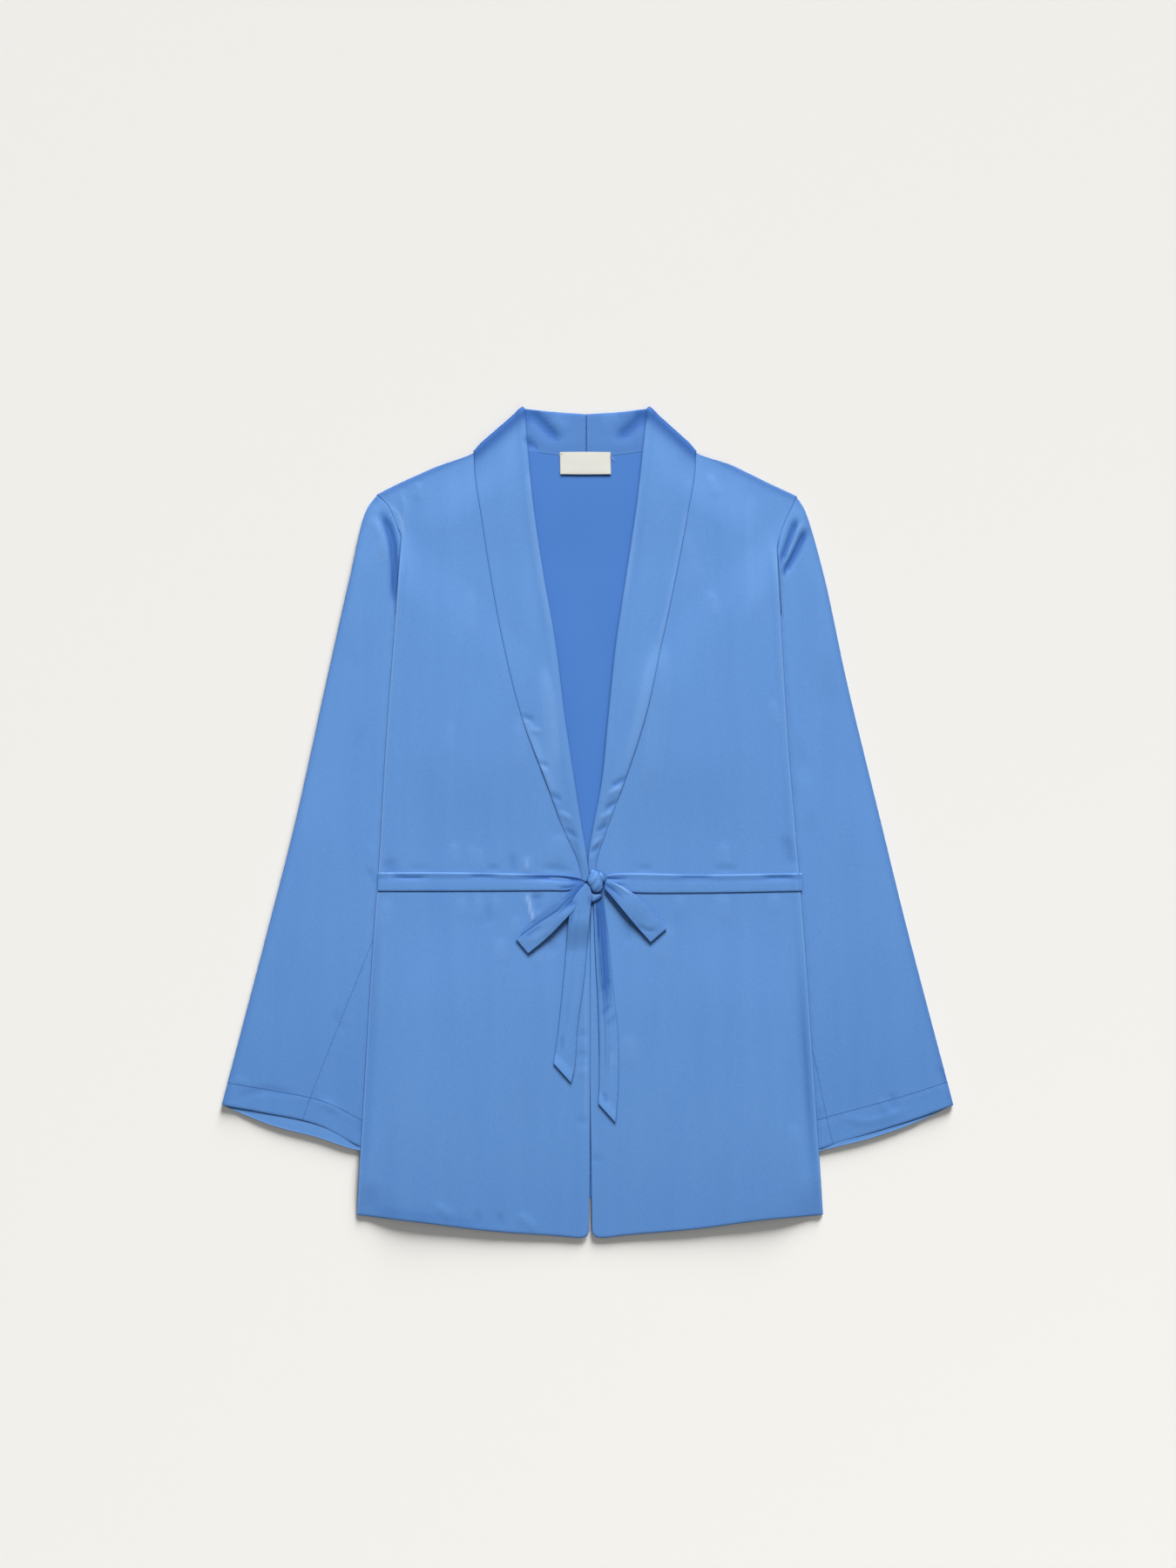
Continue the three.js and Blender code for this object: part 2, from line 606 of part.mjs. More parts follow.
// The label hangs from the back neck seam, over the stand and the back.
function labelPiece() {
  const place = (u, v) => plan([lerp(label.left, label.right, u), lerp(label.top, label.foot, v)]);
  const seat = wall / 2 + 2 * pitch - (wall - label.thick) / 2;
  const height = (x, y) => seat + label.hang * smoothstep(label.top - y, 10, label.top - label.foot);
  return piece("label", laidWall(place, height, evenly(4), evenly(3), label.thick), labelCloth);
}

function bandPlace(rows) {
  const [a, b] = [through(rows.map((row) => plan(row.a))), through(rows.map((row) => plan(row.b)))];
  return (across, along) => a(along).lerp(b(along), across);
}

function beltPiece(side) {
  const rest = layerGap + beltWall / 2;
  const height = (x, y, u) => frontTop(x, y) + rest + beltBulge * Math.sin(Math.PI * u);
  const place = bandPlace(beltHalves[side]);
  return piece(`belt_${side}`, laidWall(place, height, evenly(4), evenly(26), beltWall), satin);
}

// A loop goes out on its lower layer, turns at its end and comes back on the upper one.
function loopPiece(side) {
  const [upper, lower] = [bandPlace(loopLayers[side].upper), bandPlace(loopLayers[side].lower)];
  const { length, turn, puff, leavesBelt, landed } = loop;
  const onFront = layerGap + wall / 2;
  const onBelt = onFront + beltWall + layerGap;
  const lift = (along) => lerp(onBelt, onFront, smoothstep(along, leavesBelt, landed));
  const base = (p, along) => frontTop(p.x, p.y) + lift(along);
  const open = (along) => 2 * turn + puff * Math.sin(Math.PI * along);
  const reach = 1 - (turn + wall / 2) / length;
  const across = evenly(4);
  const layer = (place, rise) => (along) =>
    across.map((share) => {
      const p = place(share, along);
      return p.setZ(base(p, along) + rise(along));
    });
  const turning = [-45, 0, 45].map((degrees) => {
    const angle = degToRad(degrees);
    return across.map((share) => {
      const p = upper(share, reach);
      const height = base(p, 1) + turn + turn * Math.sin(angle);
      const out = upper(share, 1).sub(p).normalize();
      return p.addScaledVector(out, turn * Math.cos(angle)).setZ(height);
    });
  });
  const going = evenly(10, 0, reach).map(layer(lower, () => 0));
  const coming = evenly(10, reach, 0).map(layer(upper, open));
  return piece(`loop_${side}`, bentWall([...going, ...turning, ...coming]), satin);
}

function tailPiece(side) {
  const height = (x, y, u) => {
    const lift = lerp(layerGap + wall / 2, tail.overLoop[side], smoothstep(y, tail.landedY, tail.loopY));
    const along = smoothstep(y, pleat.toY, pleat.fromY);
    const ridge = pleat.height[side] * along * Math.exp(-(((u - pleat.across) / pleat.width) ** 2));
    return frontTop(x, y) + lift + tail.bulge * Math.sin(Math.PI * u) + ridge;
  };
  return piece(`tail_${side}`, laidWall(bandPlace(tailRows[side]), height, evenly(5), evenly(26)), satin);
}

// The knot is a dome over its outline, from a square grid drawn in to that outline.
function knotPiece() {
  const reachAt = (turn) => {
    const k = Math.max(1, knotRows.findIndex((row) => row.turn >= turn));
    const [from, to] = [knotRows[k - 1], knotRows[k]];
    return lerp(from.reach, to.reach, smoothstep(turn, from.turn, to.turn));
  };
  const [x, y] = knot.centre;
  const floor = frontTop(x, y) + layerGap;
  const face = (heightAt) =>
    evenly(knot.cells, -1, 1).map((v) =>
      evenly(knot.cells, -1, 1).map((u) => {
        const share = Math.max(Math.abs(u), Math.abs(v));
        const turn = Math.atan2(v, u);
        const reach = Math.sin((share * Math.PI) / 2) * reachAt((radToDeg(turn) + 360) % 360);
        const p = plan([x + reach * Math.cos(turn), y + reach * Math.sin(turn)]);
        return p.setZ(floor + heightAt(share));
      }),
    );
  const dome = (share) => knot.rim + (knot.rise - knot.rim) * Math.cos((share * Math.PI) / 2);
  return piece("knot", slab(face(() => 0), face(dome)), satin);
}

const jacket = new THREE.Group();
jacket.add(backPiece(), labelPiece(), knotPiece());
for (const side of Object.keys(sides)) {
  jacket.add(frontPiece(side), sleevePiece(side), collarPiece(side));
  jacket.add(beltPiece(side), loopPiece(side), tailPiece(side));
}

export default jacket;
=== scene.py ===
# Satin kimono jacket with a shawl collar and a tied belt, laid out flat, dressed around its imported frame.
import math

import bmesh
import bpy
import numpy as np
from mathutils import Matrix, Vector


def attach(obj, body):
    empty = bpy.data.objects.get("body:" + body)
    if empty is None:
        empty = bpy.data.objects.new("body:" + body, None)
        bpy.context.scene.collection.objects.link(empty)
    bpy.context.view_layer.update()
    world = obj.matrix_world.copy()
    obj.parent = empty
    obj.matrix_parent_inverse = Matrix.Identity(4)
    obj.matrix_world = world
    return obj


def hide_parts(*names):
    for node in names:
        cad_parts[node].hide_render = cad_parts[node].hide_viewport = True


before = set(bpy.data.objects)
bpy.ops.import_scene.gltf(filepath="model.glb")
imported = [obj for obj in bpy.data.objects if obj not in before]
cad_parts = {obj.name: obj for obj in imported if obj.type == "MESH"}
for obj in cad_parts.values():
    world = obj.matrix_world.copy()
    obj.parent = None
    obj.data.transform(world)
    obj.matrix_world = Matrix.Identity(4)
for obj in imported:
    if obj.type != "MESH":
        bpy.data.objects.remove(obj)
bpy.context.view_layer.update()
mm = 0.001  # the tables hold the jacket's own sizes in millimetres
signs = {"left": -1, "right": 1}  # as seen from above with the neck at the top

# Camera, floor and light
photo = {"pixels": (1350, 1800), "mmPerPixel": 0.85, "middle": (0.4, 37)}
camera = {"height": 4.0, "sensor": 36}
studio = {
    "floorColour": (0.865, 0.85, 0.81),
    "floorSize": 60,
    "zenith": (0.98, 0.99, 1.0),
    "horizon": (0.30, 0.31, 0.33),
    "worldStrength": 0.27,
    "windows": [  # broad soft lights: two for the floor and its shadows, and one that models the cloth
        {"name": "floorWindow", "on": "floor", "kind": "SUN", "power": 7.7, "size": 0.47,
         "from": (0.6, 2.1, 0.71)},
        {"name": "floorFill", "on": "floor", "kind": "AREA", "power": 12, "size": 2,
         "from": (1.4, -2.2, 2.4)},
        {"name": "clothWindow", "on": "jacket", "kind": "AREA", "power": 2180, "size": 6,
         "from": (0.5, 9, 8)},
    ],
}
groups = {}
for name in ("floor", "jacket"):
    groups[name] = bpy.data.collections.new(name)
    bpy.context.scene.collection.children.link(groups[name])


def makeCamera():
    scene = bpy.context.scene
    data = bpy.data.cameras.new("camera")
    data.sensor_fit = "VERTICAL"
    data.sensor_height = camera["sensor"]
    seen = photo["pixels"][1] * photo["mmPerPixel"] * mm
    data.lens = camera["sensor"] * camera["height"] / seen
    eye = bpy.data.objects.new("camera", data)
    eye.location = (photo["middle"][0] * mm, photo["middle"][1] * mm, camera["height"])
    scene.collection.objects.link(eye)
    scene.camera = eye
    scene.view_settings.view_transform = "Standard"


def makeStudio():
    scene = bpy.context.scene
    world = bpy.data.worlds.new("studio")
    world.use_nodes = True
    nodes, links = world.node_tree.nodes, world.node_tree.links
    spot, split = nodes.new("ShaderNodeTexCoord"), nodes.new("ShaderNodeSeparateXYZ")
    ramp, sky = nodes.new("ShaderNodeValToRGB"), nodes["Background"]
    links.new(spot.outputs["Generated"], split.inputs[0])
    links.new(split.outputs["Z"], ramp.inputs[0])
    links.new(ramp.outputs[0], sky.inputs["Color"])
    ramp.color_ramp.elements[0].color = (*studio["horizon"], 1)
    ramp.color_ramp.elements[1].color = (*studio["zenith"], 1)
    sky.inputs["Strength"].default_value = studio["worldStrength"]
    scene.world = world
    for row in studio["windows"]:
        window = bpy.data.lights.new(row["name"], row["kind"])
        window.energy = row["power"]
        if row["kind"] == "SUN":
            window.angle = row["size"]
        else:
            window.size = row["size"]
        pane = bpy.data.objects.new(row["name"], window)
        pane.location = row["from"]
        pane.rotation_euler = (-Vector(row["from"])).to_track_quat("-Z", "Y").to_euler()
        pane.light_linking.receiver_collection = groups[row["on"]]
        scene.collection.objects.link(pane)


makeCamera()
makeStudio()
print("camera and lights made")


# Shader maths: a wrapped socket adds its Math nodes when it is used in an expression.
class Wire:
    def __init__(self, finish, socket):
        self.finish = finish
        self.socket = socket

    def maths(self, operation, first, second=0.0):
        node = self.finish.add("Math", {"operation": operation}, {0: first, 1: second})
        return Wire(self.finish, node.outputs[0])

    def __add__(self, other):
        return self.maths("ADD", self, other)

    def __radd__(self, other):
        return self.maths("ADD", other, self)

    def __sub__(self, other):
        return self.maths("SUBTRACT", self, other)

    def __rsub__(self, other):
        return self.maths("SUBTRACT", other, self)

    def __mul__(self, other):
        return self.maths("MULTIPLY", self, other)

    def __rmul__(self, other):
        return self.maths("MULTIPLY", other, self)

    def bell(self, width):  # 1 on the line, and nothing a few widths from it
        square = self.maths("MULTIPLY", self * (1 / width), self * (-1 / width))
        return self.maths("EXPONENT", square)

    def fraction(self):
        return self.maths("FRACT", self)


class Finish:
    def __init__(self, name):
        self.material = bpy.data.materials.new(name)
        self.material.use_nodes = True
        self.tree = self.material.node_tree
        self.shader = self.tree.nodes["Principled BSDF"]

    def add(self, kind, settings, sockets):
        node = self.tree.nodes.new("ShaderNode" + kind)
        for name, value in settings.items():
            setattr(node, name, value)
        for name, value in sockets.items():
            self.feed(node.inputs[name], value)
        return node

    def feed(self, socket, value):
        if isinstance(value, Wire):
            self.tree.links.new(value.socket, socket)
        elif isinstance(value, bpy.types.NodeSocket):
            self.tree.links.new(value, socket)
        else:
            socket.default_value = value

    def wire(self, kind, settings, sockets, output):
        return Wire(self, self.add(kind, settings, sockets).outputs[output])

    def mark(self, name):  # a number that the piece's mesh carries
        return self.wire("Attribute", {"attribute_name": name}, {}, "Fac")

    def place(self, scale):  # object coordinates, stretched
        spot = self.add("TexCoord", {}, {})
        return self.add("Mapping", {}, {"Vector": spot.outputs["Object"], "Scale": scale}).outputs[0]

    def noise(self, scale, detail, roughness=0.5):
        sockets = {"Vector": self.place(scale), "Scale": 1.0, "Detail": detail, "Roughness": roughness}
        return self.wire("TexNoise", {}, sockets, "Fac")

    def blend(self, share, first, second):
        first, second = ((*colour, 1) if isinstance(colour, tuple) else colour for colour in (first, second))
        return self.add("Mix", {"data_type": "RGBA"}, {"Factor": share, 6: first, 7: second}).outputs[2]

    def darken(self, colour, share, shade):
        settings = {"data_type": "RGBA", "blend_type": "MULTIPLY"}
        return self.add("Mix", settings, {"Factor": share, 6: colour, 7: (*shade, 1)}).outputs[2]

    def emboss(self, height, strength, distance):
        sockets = {"Height": height, "Strength": strength, "Distance": distance}
        self.feed(self.shader.inputs["Normal"], self.add("Bump", {}, sockets).outputs[0])


satinLook = {
    "colour": (0.125, 0.292, 0.628),
    "shade": (0.083, 0.226, 0.540),
    "deep": (0.34, 0.50, 0.70),  # times the colour: painted shade where a fold turns in
    # painted highlight, mixed in where a fold comes up to a crest
    "crest": (0.29, 0.48, 0.80),
    "metallic": 0.12,
    "roughness": (0.46, 0.55),
    "specular": 0.28,
    "streaks": (55, 6, 30),  # times a metre: soft lengthwise streaks
    "mottle": (700, 560, 700),
    "floats": (2600, 700, 2600),  # the weave's long floats
    "tone": {"streak": 0.5, "mottle": 0.8, "level": -0.12},
    "relief": {"streak": 0.35, "mottle": 0.1, "floats": 0.03},
    "bump": 0.6,
}
insideLook = {
    "colour": (0.047, 0.177, 0.518),
    "shade": (0.039, 0.159, 0.486),
    "roughness": 0.68,
    "cloud": (14, 10, 14),
    "weave": (1800, 1800, 1800),
    "tone": {"cloud": 0.7, "weave": 0.3},
    "relief": 0.08,
    "bump": 0.5,
}
labelLook = {
    "colour": (0.675, 0.662, 0.610),
    "shade": (0.60, 0.59, 0.533),
    "roughness": 0.8,
    "threads": 2400,
    "edge": (0.86, 0.84, 0.8),  # times the colour
    "tone": {"weft": 0.6, "warp": 0.4},
    "relief": {"weft": 0.5, "warp": 0.35, "edge": 0.3},
    "bump": 0.25,
}
stitching = {
    "groove": 0.5,  # half widths
    "pucker": 3.2,
    "stitch": 1.9,  # length
    "dark": (0.36, 0.45, 0.6),
    "shade": {"groove": 0.55, "stitch": 0.8, "seam": 0.34},
    "relief": {"pucker": 0.5, "groove": -0.2, "stitch": 0.1, "seam": -0.4},
}


def sewnLines(finish):
    # the groove of each sewn line with its stitches, plain seams, and the puckers beside both; on the bands
    # the seam line is a groove at the rolled edge, darkened with painted shade
    across, run, seam = finish.mark("sewn"), finish.mark("sewnRun"), finish.mark("seam")
    groove = across.bell(stitching["groove"])
    dash = (run * (1 / stitching["stitch"])).fraction() - 0.5
    stitch = groove * dash.bell(0.22)
    ruck = finish.noise((160, 160, 160), 2.0) - 0.5
    pucker = (across.bell(stitching["pucker"]) + seam.bell(stitching["pucker"])) * ruck
    line = seam.bell(stitching["groove"])
    deep, dark = stitching["relief"], stitching["shade"]
    height = pucker * deep["pucker"] + groove * deep["groove"] + stitch * deep["stitch"] + line * deep["seam"]
    return groove * dark["groove"] + stitch * dark["stitch"] + line * dark["seam"], height


def makeSatin():
    finish = Finish("satin")
    streak = finish.noise(satinLook["streaks"], 3.0)
    mottle = finish.noise(satinLook["mottle"], 2.0)
    floats = finish.noise(satinLook["floats"], 1.0)
    line, relief = sewnLines(finish)
    tone, bumps = satinLook["tone"], satinLook["relief"]
    share = streak * tone["streak"] + mottle * tone["mottle"] + tone["level"]
    colour = finish.blend(share, satinLook["shade"], satinLook["colour"])
    # the fold mark paints shade into the troughs of folds and a highlight on their crests
    fold = finish.mark("fold")
    colour = finish.darken(colour, fold * -1.0, satinLook["deep"])
    colour = finish.blend(fold, colour, satinLook["crest"])
    finish.feed(finish.shader.inputs["Base Color"], finish.darken(colour, line, stitching["dark"]))
    low, high = satinLook["roughness"]
    finish.feed(finish.shader.inputs["Roughness"], streak * (low - high) + mottle * 0.06 + high)
    finish.shader.inputs["Metallic"].default_value = satinLook["metallic"]
    finish.shader.inputs["Specular IOR Level"].default_value = satinLook["specular"]
    relief = relief + streak * bumps["streak"] + mottle * bumps["mottle"] + floats * bumps["floats"]
    finish.emboss(relief, 1.0, satinLook["bump"] * mm)
    return finish.material


def makeInside():
    finish = Finish("satinInside")
    cloud = finish.noise(insideLook["cloud"], 3.0)
    weave = finish.noise(insideLook["weave"], 2.0)
    line, relief = sewnLines(finish)
    tone = insideLook["tone"]
    share = cloud * tone["cloud"] + weave * tone["weave"]
    colour = finish.blend(share, insideLook["shade"], insideLook["colour"])
    finish.feed(finish.shader.inputs["Base Color"], finish.darken(colour, line, stitching["dark"]))
    finish.feed(finish.shader.inputs["Roughness"], weave * 0.1 + insideLook["roughness"] - 0.05)
    finish.emboss(relief + weave * insideLook["relief"], 1.0, insideLook["bump"] * mm)
    return finish.material


def makeLabelCloth():
    finish = Finish("labelCloth")
    size = labelLook["threads"]
    weft = finish.noise((size * 0.25, size, size), 1.0)
    warp = finish.noise((size, size * 0.25, size), 1.0)
    edge = finish.mark("sewn").bell(1.1)
    tone, relief = labelLook["tone"], labelLook["relief"]
    share = weft * tone["weft"] + warp * tone["warp"]
    colour = finish.blend(share, labelLook["shade"], labelLook["colour"])
    finish.feed(finish.shader.inputs["Base Color"], finish.darken(colour, edge * 0.5, labelLook["edge"]))
    finish.feed(finish.shader.inputs["Roughness"], warp * 0.12 + labelLook["roughness"] - 0.06)
    height = weft * relief["weft"] + warp * relief["warp"] - edge * relief["edge"]
    finish.emboss(height, 1.0, labelLook["bump"] * mm)
    return finish.material


def makeFloor():
    finish = Finish("paleFloor")
    finish.shader.inputs["Base Color"].default_value = (*studio["floorColour"], 1)
    finish.shader.inputs["Roughness"].default_value = 0.95
    finish.shader.inputs["Specular IOR Level"].default_value = 0.05
    bm = bmesh.new()
    bmesh.ops.create_grid(bm, x_segments=1, y_segments=1, size=studio["floorSize"] / 2)
    mesh = bpy.data.meshes.new("floor")
    bm.to_mesh(mesh)
    bm.free()
    mesh.materials.append(finish.material)
    floor = bpy.data.objects.new("floor", mesh)
    groups["floor"].objects.link(floor)


satin, satinInside, labelCloth = makeSatin(), makeInside(), makeLabelCloth()
makeFloor()
print("finishes and floor made")


# Curves and patches, as in the part's source
def smoothstep(x, low, high):
    share = np.clip((x - low) / (high - low), 0, 1)
    return share * share * (3 - 2 * share)


def lerp(a, b, share):
    return a + (b - a) * share


def bell(x):
    return np.exp(-(x**2))


def through(points, steps=24):
    # a smooth curve through points, read by its share of length
    p = np.array(points, float)
    p = np.vstack([2 * p[0] - p[1], p, 2 * p[-1] - p[-2]])
    line = [p[1:2]]
    for a, b, c, d in zip(p, p[1:], p[2:], p[3:]):
        knots = np.cumsum([0, *(math.sqrt(math.dist(*pair)) for pair in ((a, b), (b, c), (c, d)))])
        t = np.linspace(knots[1], knots[2], steps + 1)[1:, None]
        at = lambda q, r, i, j: (q * (knots[j] - t) + r * (t - knots[i])) / (knots[j] - knots[i])
        ab, bc, cd = at(a, b, 0, 1), at(b, c, 1, 2), at(c, d, 2, 3)
        line.append(at(at(ab, bc, 0, 2), at(bc, cd, 1, 3), 1, 2))
    line = np.vstack(line)
    runs = np.concatenate([[0], np.cumsum(np.linalg.norm(np.diff(line, axis=0), axis=1))])

    def curve(share):
        run = np.clip(share, 0, 1) * runs[-1]
        return np.stack([np.interp(run, runs, column) for column in line.T], axis=-1)

    return curve


def joined(*parts):
    # curves end to end, each with the share of the whole at which it ends
    def curve(share):
        share = np.asarray(share, float)
        start, out = 0, None
        for part, until in parts:
            points = part((share - start) / (until - start))
            out = points if out is None else np.where((share > start)[..., None], points, out)
            start = until
        return out

    return curve


def patch(top, foot, near, far):
    # filled in between its edges: u runs along top and foot, v down near and far
    a, b, c, d = top(0.0), top(1.0), foot(0.0), foot(1.0)

    def place(u, v):
        s, t = u[:, None], v[:, None]
        sides = near(v) * (1 - s) + far(v) * s + top(u) * (1 - t) + foot(u) * t
        return sides - a * (1 - s) * (1 - t) - b * s * (1 - t) - c * (1 - s) * t - d * s * t

    return place


def toLine(x, y, points):
    # distance from a line of points, positive on its left, with the share along it
    line = through(points, 6)(np.linspace(0, 1, 4 * len(points)))
    best = np.full(len(x), np.inf)
    side, along = np.ones(len(x)), np.zeros(len(x))
    for k, (a, b) in enumerate(zip(line, line[1:])):
        dx, dy = b - a
        share = np.clip(((x - a[0]) * dx + (y - a[1]) * dy) / (dx * dx + dy * dy), 0, 1)
        away = np.hypot(x - a[0] - share * dx, y - a[1] - share * dy)
        nearer = away < best
        best = np.where(nearer, away, best)
        side = np.where(nearer, np.sign(dx * (y - a[1]) - dy * (x - a[0])), side)
        along = np.where(nearer, (k + share) / (len(line) - 1), along)
    return best * side, along


usualEnd = 0.35


def creased(x, y, rows):
    # The height that the listed creases add. A row has a crease's half width, its height, which is negative
    # for a trough, its path and, where it isn't the usual one, the share of its length where each end fades.
    total = np.zeros(len(x))
    for width, height, path, *ends in rows:
        across, along = toLine(x, y, path)
        end = ends[0] if ends else usualEnd
        fade = smoothstep(along, 0, end) * (1 - smoothstep(along, 1 - end, 1))
        total += height * fade * bell(across / width)
    return total


def paintedFoldLight(x, y, rows, depth=1.3, crest=0.5):
    # painted shade and highlight: how far each point is inside a trough, down to -1, or on a crest, which
    # shows less
    return np.clip(creased(x, y, rows) / depth, -1, crest)


edgeSteps = np.array([0, 0.3, 0.7, 1.2, 1.8, 2.6, 3.7])  # finer rows along a border, which is rounded


def lines(length, step):
    inner = length - 2 * edgeSteps[-1]
    middle = np.linspace(edgeSteps[-1], length - edgeSteps[-1], round(inner / step) + 1)
    return np.concatenate([edgeSteps[:-1], middle, length - edgeSteps[-2::-1]]) / length


def evenly(count, start=0.0, end=1.0):
    return np.linspace(start, end, count + 1)


# What the shader reads from a mesh, in millimetres but for the last: how far a point is from stitching, its
# place along it, how far it is from a plain seam or a band's edge, which gets a dark line of painted shade,
# and "fold", painted shade from -1 in a deep trough up to a painted highlight at 1 on a crest.
far = 99.0
unmarked = {"sewn": far, "sewnRun": 0.0, "seam": far, "fold": 0.0}


def clothPiece(name, columns, rows, place, flat, thick=0.5, marks=None, flip=False, finishes=None, hemFrom=2):
    # a sheet spread from a flat grid, with finishes for its two faces and for both again past its hem line
    bm = bmesh.new()
    bmesh.ops.create_grid(bm, x_segments=len(columns) - 1, y_segments=len(rows) - 1, size=0.5)
    spots = np.array([vert.co for vert in bm.verts])
    u = columns[np.rint((spots[:, 0] + 0.5) * (len(columns) - 1)).astype(int)]
    v = rows[np.rint((0.5 - spots[:, 1]) * (len(rows) - 1)).astype(int)]
    points = place(u, v)
    found = {**unmarked, **(marks(u, v, points) if marks else {})}
    cut = bm.loops.layers.uv.new("cut")
    for face in bm.faces:
        for loop in face.loops:
            k = loop.vert.index
            loop[cut].uv = (u[k] * flat[0], v[k] * flat[1])
        if min(v[vert.index] for vert in face.verts) > hemFrom:
            face.material_index = 2
    for mark, values in found.items():
        layer = bm.verts.layers.float.new(mark)
        for vert, value in zip(bm.verts, np.broadcast_to(values, len(u)).tolist()):
            vert[layer] = value
    for vert, point in zip(bm.verts, (points * mm).tolist()):
        vert.co = point
    if flip:
        bmesh.ops.reverse_faces(bm, faces=bm.faces)
    bmesh.ops.remove_doubles(bm, verts=bm.verts, dist=0.001 * mm)
    mesh = bpy.data.meshes.new(name)
    bm.to_mesh(mesh)
    bm.free()
    mesh.shade_smooth()
    for finish in finishes or (satin, satinInside):
        mesh.materials.append(finish)
    piece = bpy.data.objects.new(name, mesh)
    groups["jacket"].objects.link(piece)
    shell = piece.modifiers.new("thickness", "SOLIDIFY")
    shell.thickness = thick * mm
    shell.offset = 0
    shell.material_offset = 1
    return piece


def settle(piece, node):
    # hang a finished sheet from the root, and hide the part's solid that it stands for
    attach(piece, "root")
    if node:
        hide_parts(node)


# The pile of cloth, as in the part's source but closer to the floor, and with a wider ramp and more air in
# the fronts
pile = {
    "wall": 1.2,
    "seamGap": 0.3,
    "layerGap": 0.5,
    "pitch": 1.7,
    "sleeveTop": 3.4,
    "bodyOverSleeve": 3.9,
    "floorGap": 0.3,  # from the floor to the middle of the cloth that lies on it
    "backRamp": (20, 55),
    "frontRamp": (20, 190),
    "neckPile": {"foot": 245, "full": 330, "inX": 118, "outX": 175},
    "frontAir": {"flat": 1.8, "most": 6, "fromSide": 50, "fromShoulder": 60},
    "underBelt": {"y": -58, "flat": 30, "free": 130},
}
neckFoldHeight = pile["wall"] / 2 + 1.5 * pile["pitch"]

outlines = {
    "armhole": {
        "left": [(-205.5, 319), (-195, 309), (-190, 299), (-185.5, 288.5), (-181.5, 279)],
        "right": [(204, 317.5), (198.5, 305.5), (192, 291.5), (187.5, 278.5), (184.5, 266)],
    },
    "side": {
        "left": [(-181.5, 279), (-187, 205), (-197, 71), (-203, -35), (-209, -116), (-225, -383)],
        "right": [(184.5, 266), (188, 205), (196, 71), (205, -35), (211.5, -116), (229.5, -383)],
    },
    "shoulder": {
        "left": [(-148, 346), (-182, 331), (-205.5, 319)],
        "right": [(141, 347.5), (175, 331), (204, 317.5)],
    },
    "frontEdge": {
        "left": [(0.2, -46), (1.3, -62), (2.2, -110), (2.3, -260), (2.0, -330), (1.4, -399)],
        "right": [(1, -46), (2, -62), (2.7, -110), (2.8, -260), (3.7, -330), (4.6, -399)],
    },
    "frontHem": {
        "left": [(-225, -383), (-165, -390), (-97, -398.5), (-30, -403.5), (-7, -405.3), (-1, -403.8),
                 (1.4, -399)],
        "right": [(229.5, -383), (170, -388), (107, -396.5), (40, -402.5), (13, -405.3), (7, -403.8),
                  (4.6, -399)],
    },
    "backHem": [(-225, -383), (-112, -370), (2, -366), (112, -370), (229.5, -383)],
    "sleeveEdge": {
        "left": [(-205.5, 319), (-216, 303), (-231, 241), (-254, 139), (-284, 3), (-310, -99),
                 (-356.5, -276)],
        "right": [(204, 317.5), (212, 303), (230, 241), (252, 139), (285, 3), (310, -99), (356.5, -276)],
    },
    "cuff": {
        "left": [(-356.5, -276), (-318, -283), (-265, -294.5), (-229, -313), (-183, -335)],
        "right": [(356.5, -276), (318, -290), (272, -304.5), (229, -318), (184, -336)],
    },
    "sleeveDive": {"left": (-188, 200), "right": (189, 200)},
    "sleeveInner": {"left": [(-95, 110), (-183, -335)], "right": [(95, 110), (184, -336)]},
}
collarLines = {
    "stand": [4, 8, 12, 18, 24, 28, 34, 39, 45],
    "roll": {
        "left": [(-0.6, -36), (-5.5, -5.5), (-12.3, 37), (-22.5, 105), (-31, 173), (-43, 241), (-53, 309),
                 (-58, 360), (-63.3, 405)],
        "right": [(0.8, -36), (5.5, -5.5), (13.5, 37), (20.5, 105), (27.6, 173), (37.8, 241), (48, 309),
                  (53.5, 360), (60, 405)],
    },
    "edge": {
        "left": [(-9.8, -37), (-24.2, -5.5), (-39.5, 37), (-65, 105), (-82, 173), (-94.8, 241), (-104, 300),
                 (-109.5, 336), (-112.6, 362.5)],
        "right": [(9.2, -37), (19.5, -5.5), (35, 37), (57, 105), (72, 173), (86.3, 241), (97.5, 300),
                  (104, 336), (107.5, 362.5)],
    },
}
centreBack = {"x": -1.3, "rollY": 397.4, "seamY": 356.6, "edgeY": 337}
backNeck = {"rollX": 32, "rollY": 399.5, "edgeX": 60, "edgeY": 342, "seamX": 68, "seamY": 361}

broadFolds = [  # the soft ridges that the part's source has too
    (26, 0.9, [(-150, 250), (-165, 0)]),
    (24, 0.7, [(-95, 150), (-118, -20)]),
    (26, 1, [(140, 290), (165, 20)]),
    (24, 0.8, [(85, 190), (105, -15)]),
    (22, 0.9, [(-52, -95), (-64, -300)]),
    (26, 0.8, [(-170, -110), (-185, -370)]),
    (24, 0.8, [(62, -110), (80, -330)]),
    (26, 0.9, [(180, -120), (195, -370)]),
]
sideLines = {side: through(outlines["side"][side])(evenly(300)) for side in signs}
shoulderTops = {
    side: np.array(sorted([(63, 405), (112, 362.5), *((abs(x), y) for x, y in outlines["shoulder"][side])]))
    for side in signs
}


def bySide(x, value):
    return np.where(x < 0, value("left"), value("right"))


def sideDistance(x, y):
    def inside(side):
        line = sideLines[side][::-1]
        return (np.interp(y, line[:, 1], line[:, 0]) - x) * signs[side]

    return bySide(x, inside)


def shoulderDistance(x, y, slopeShare=0.92):
    return (bySide(x, lambda side: np.interp(abs(x), *shoulderTops[side].T)) - y) * slopeShare


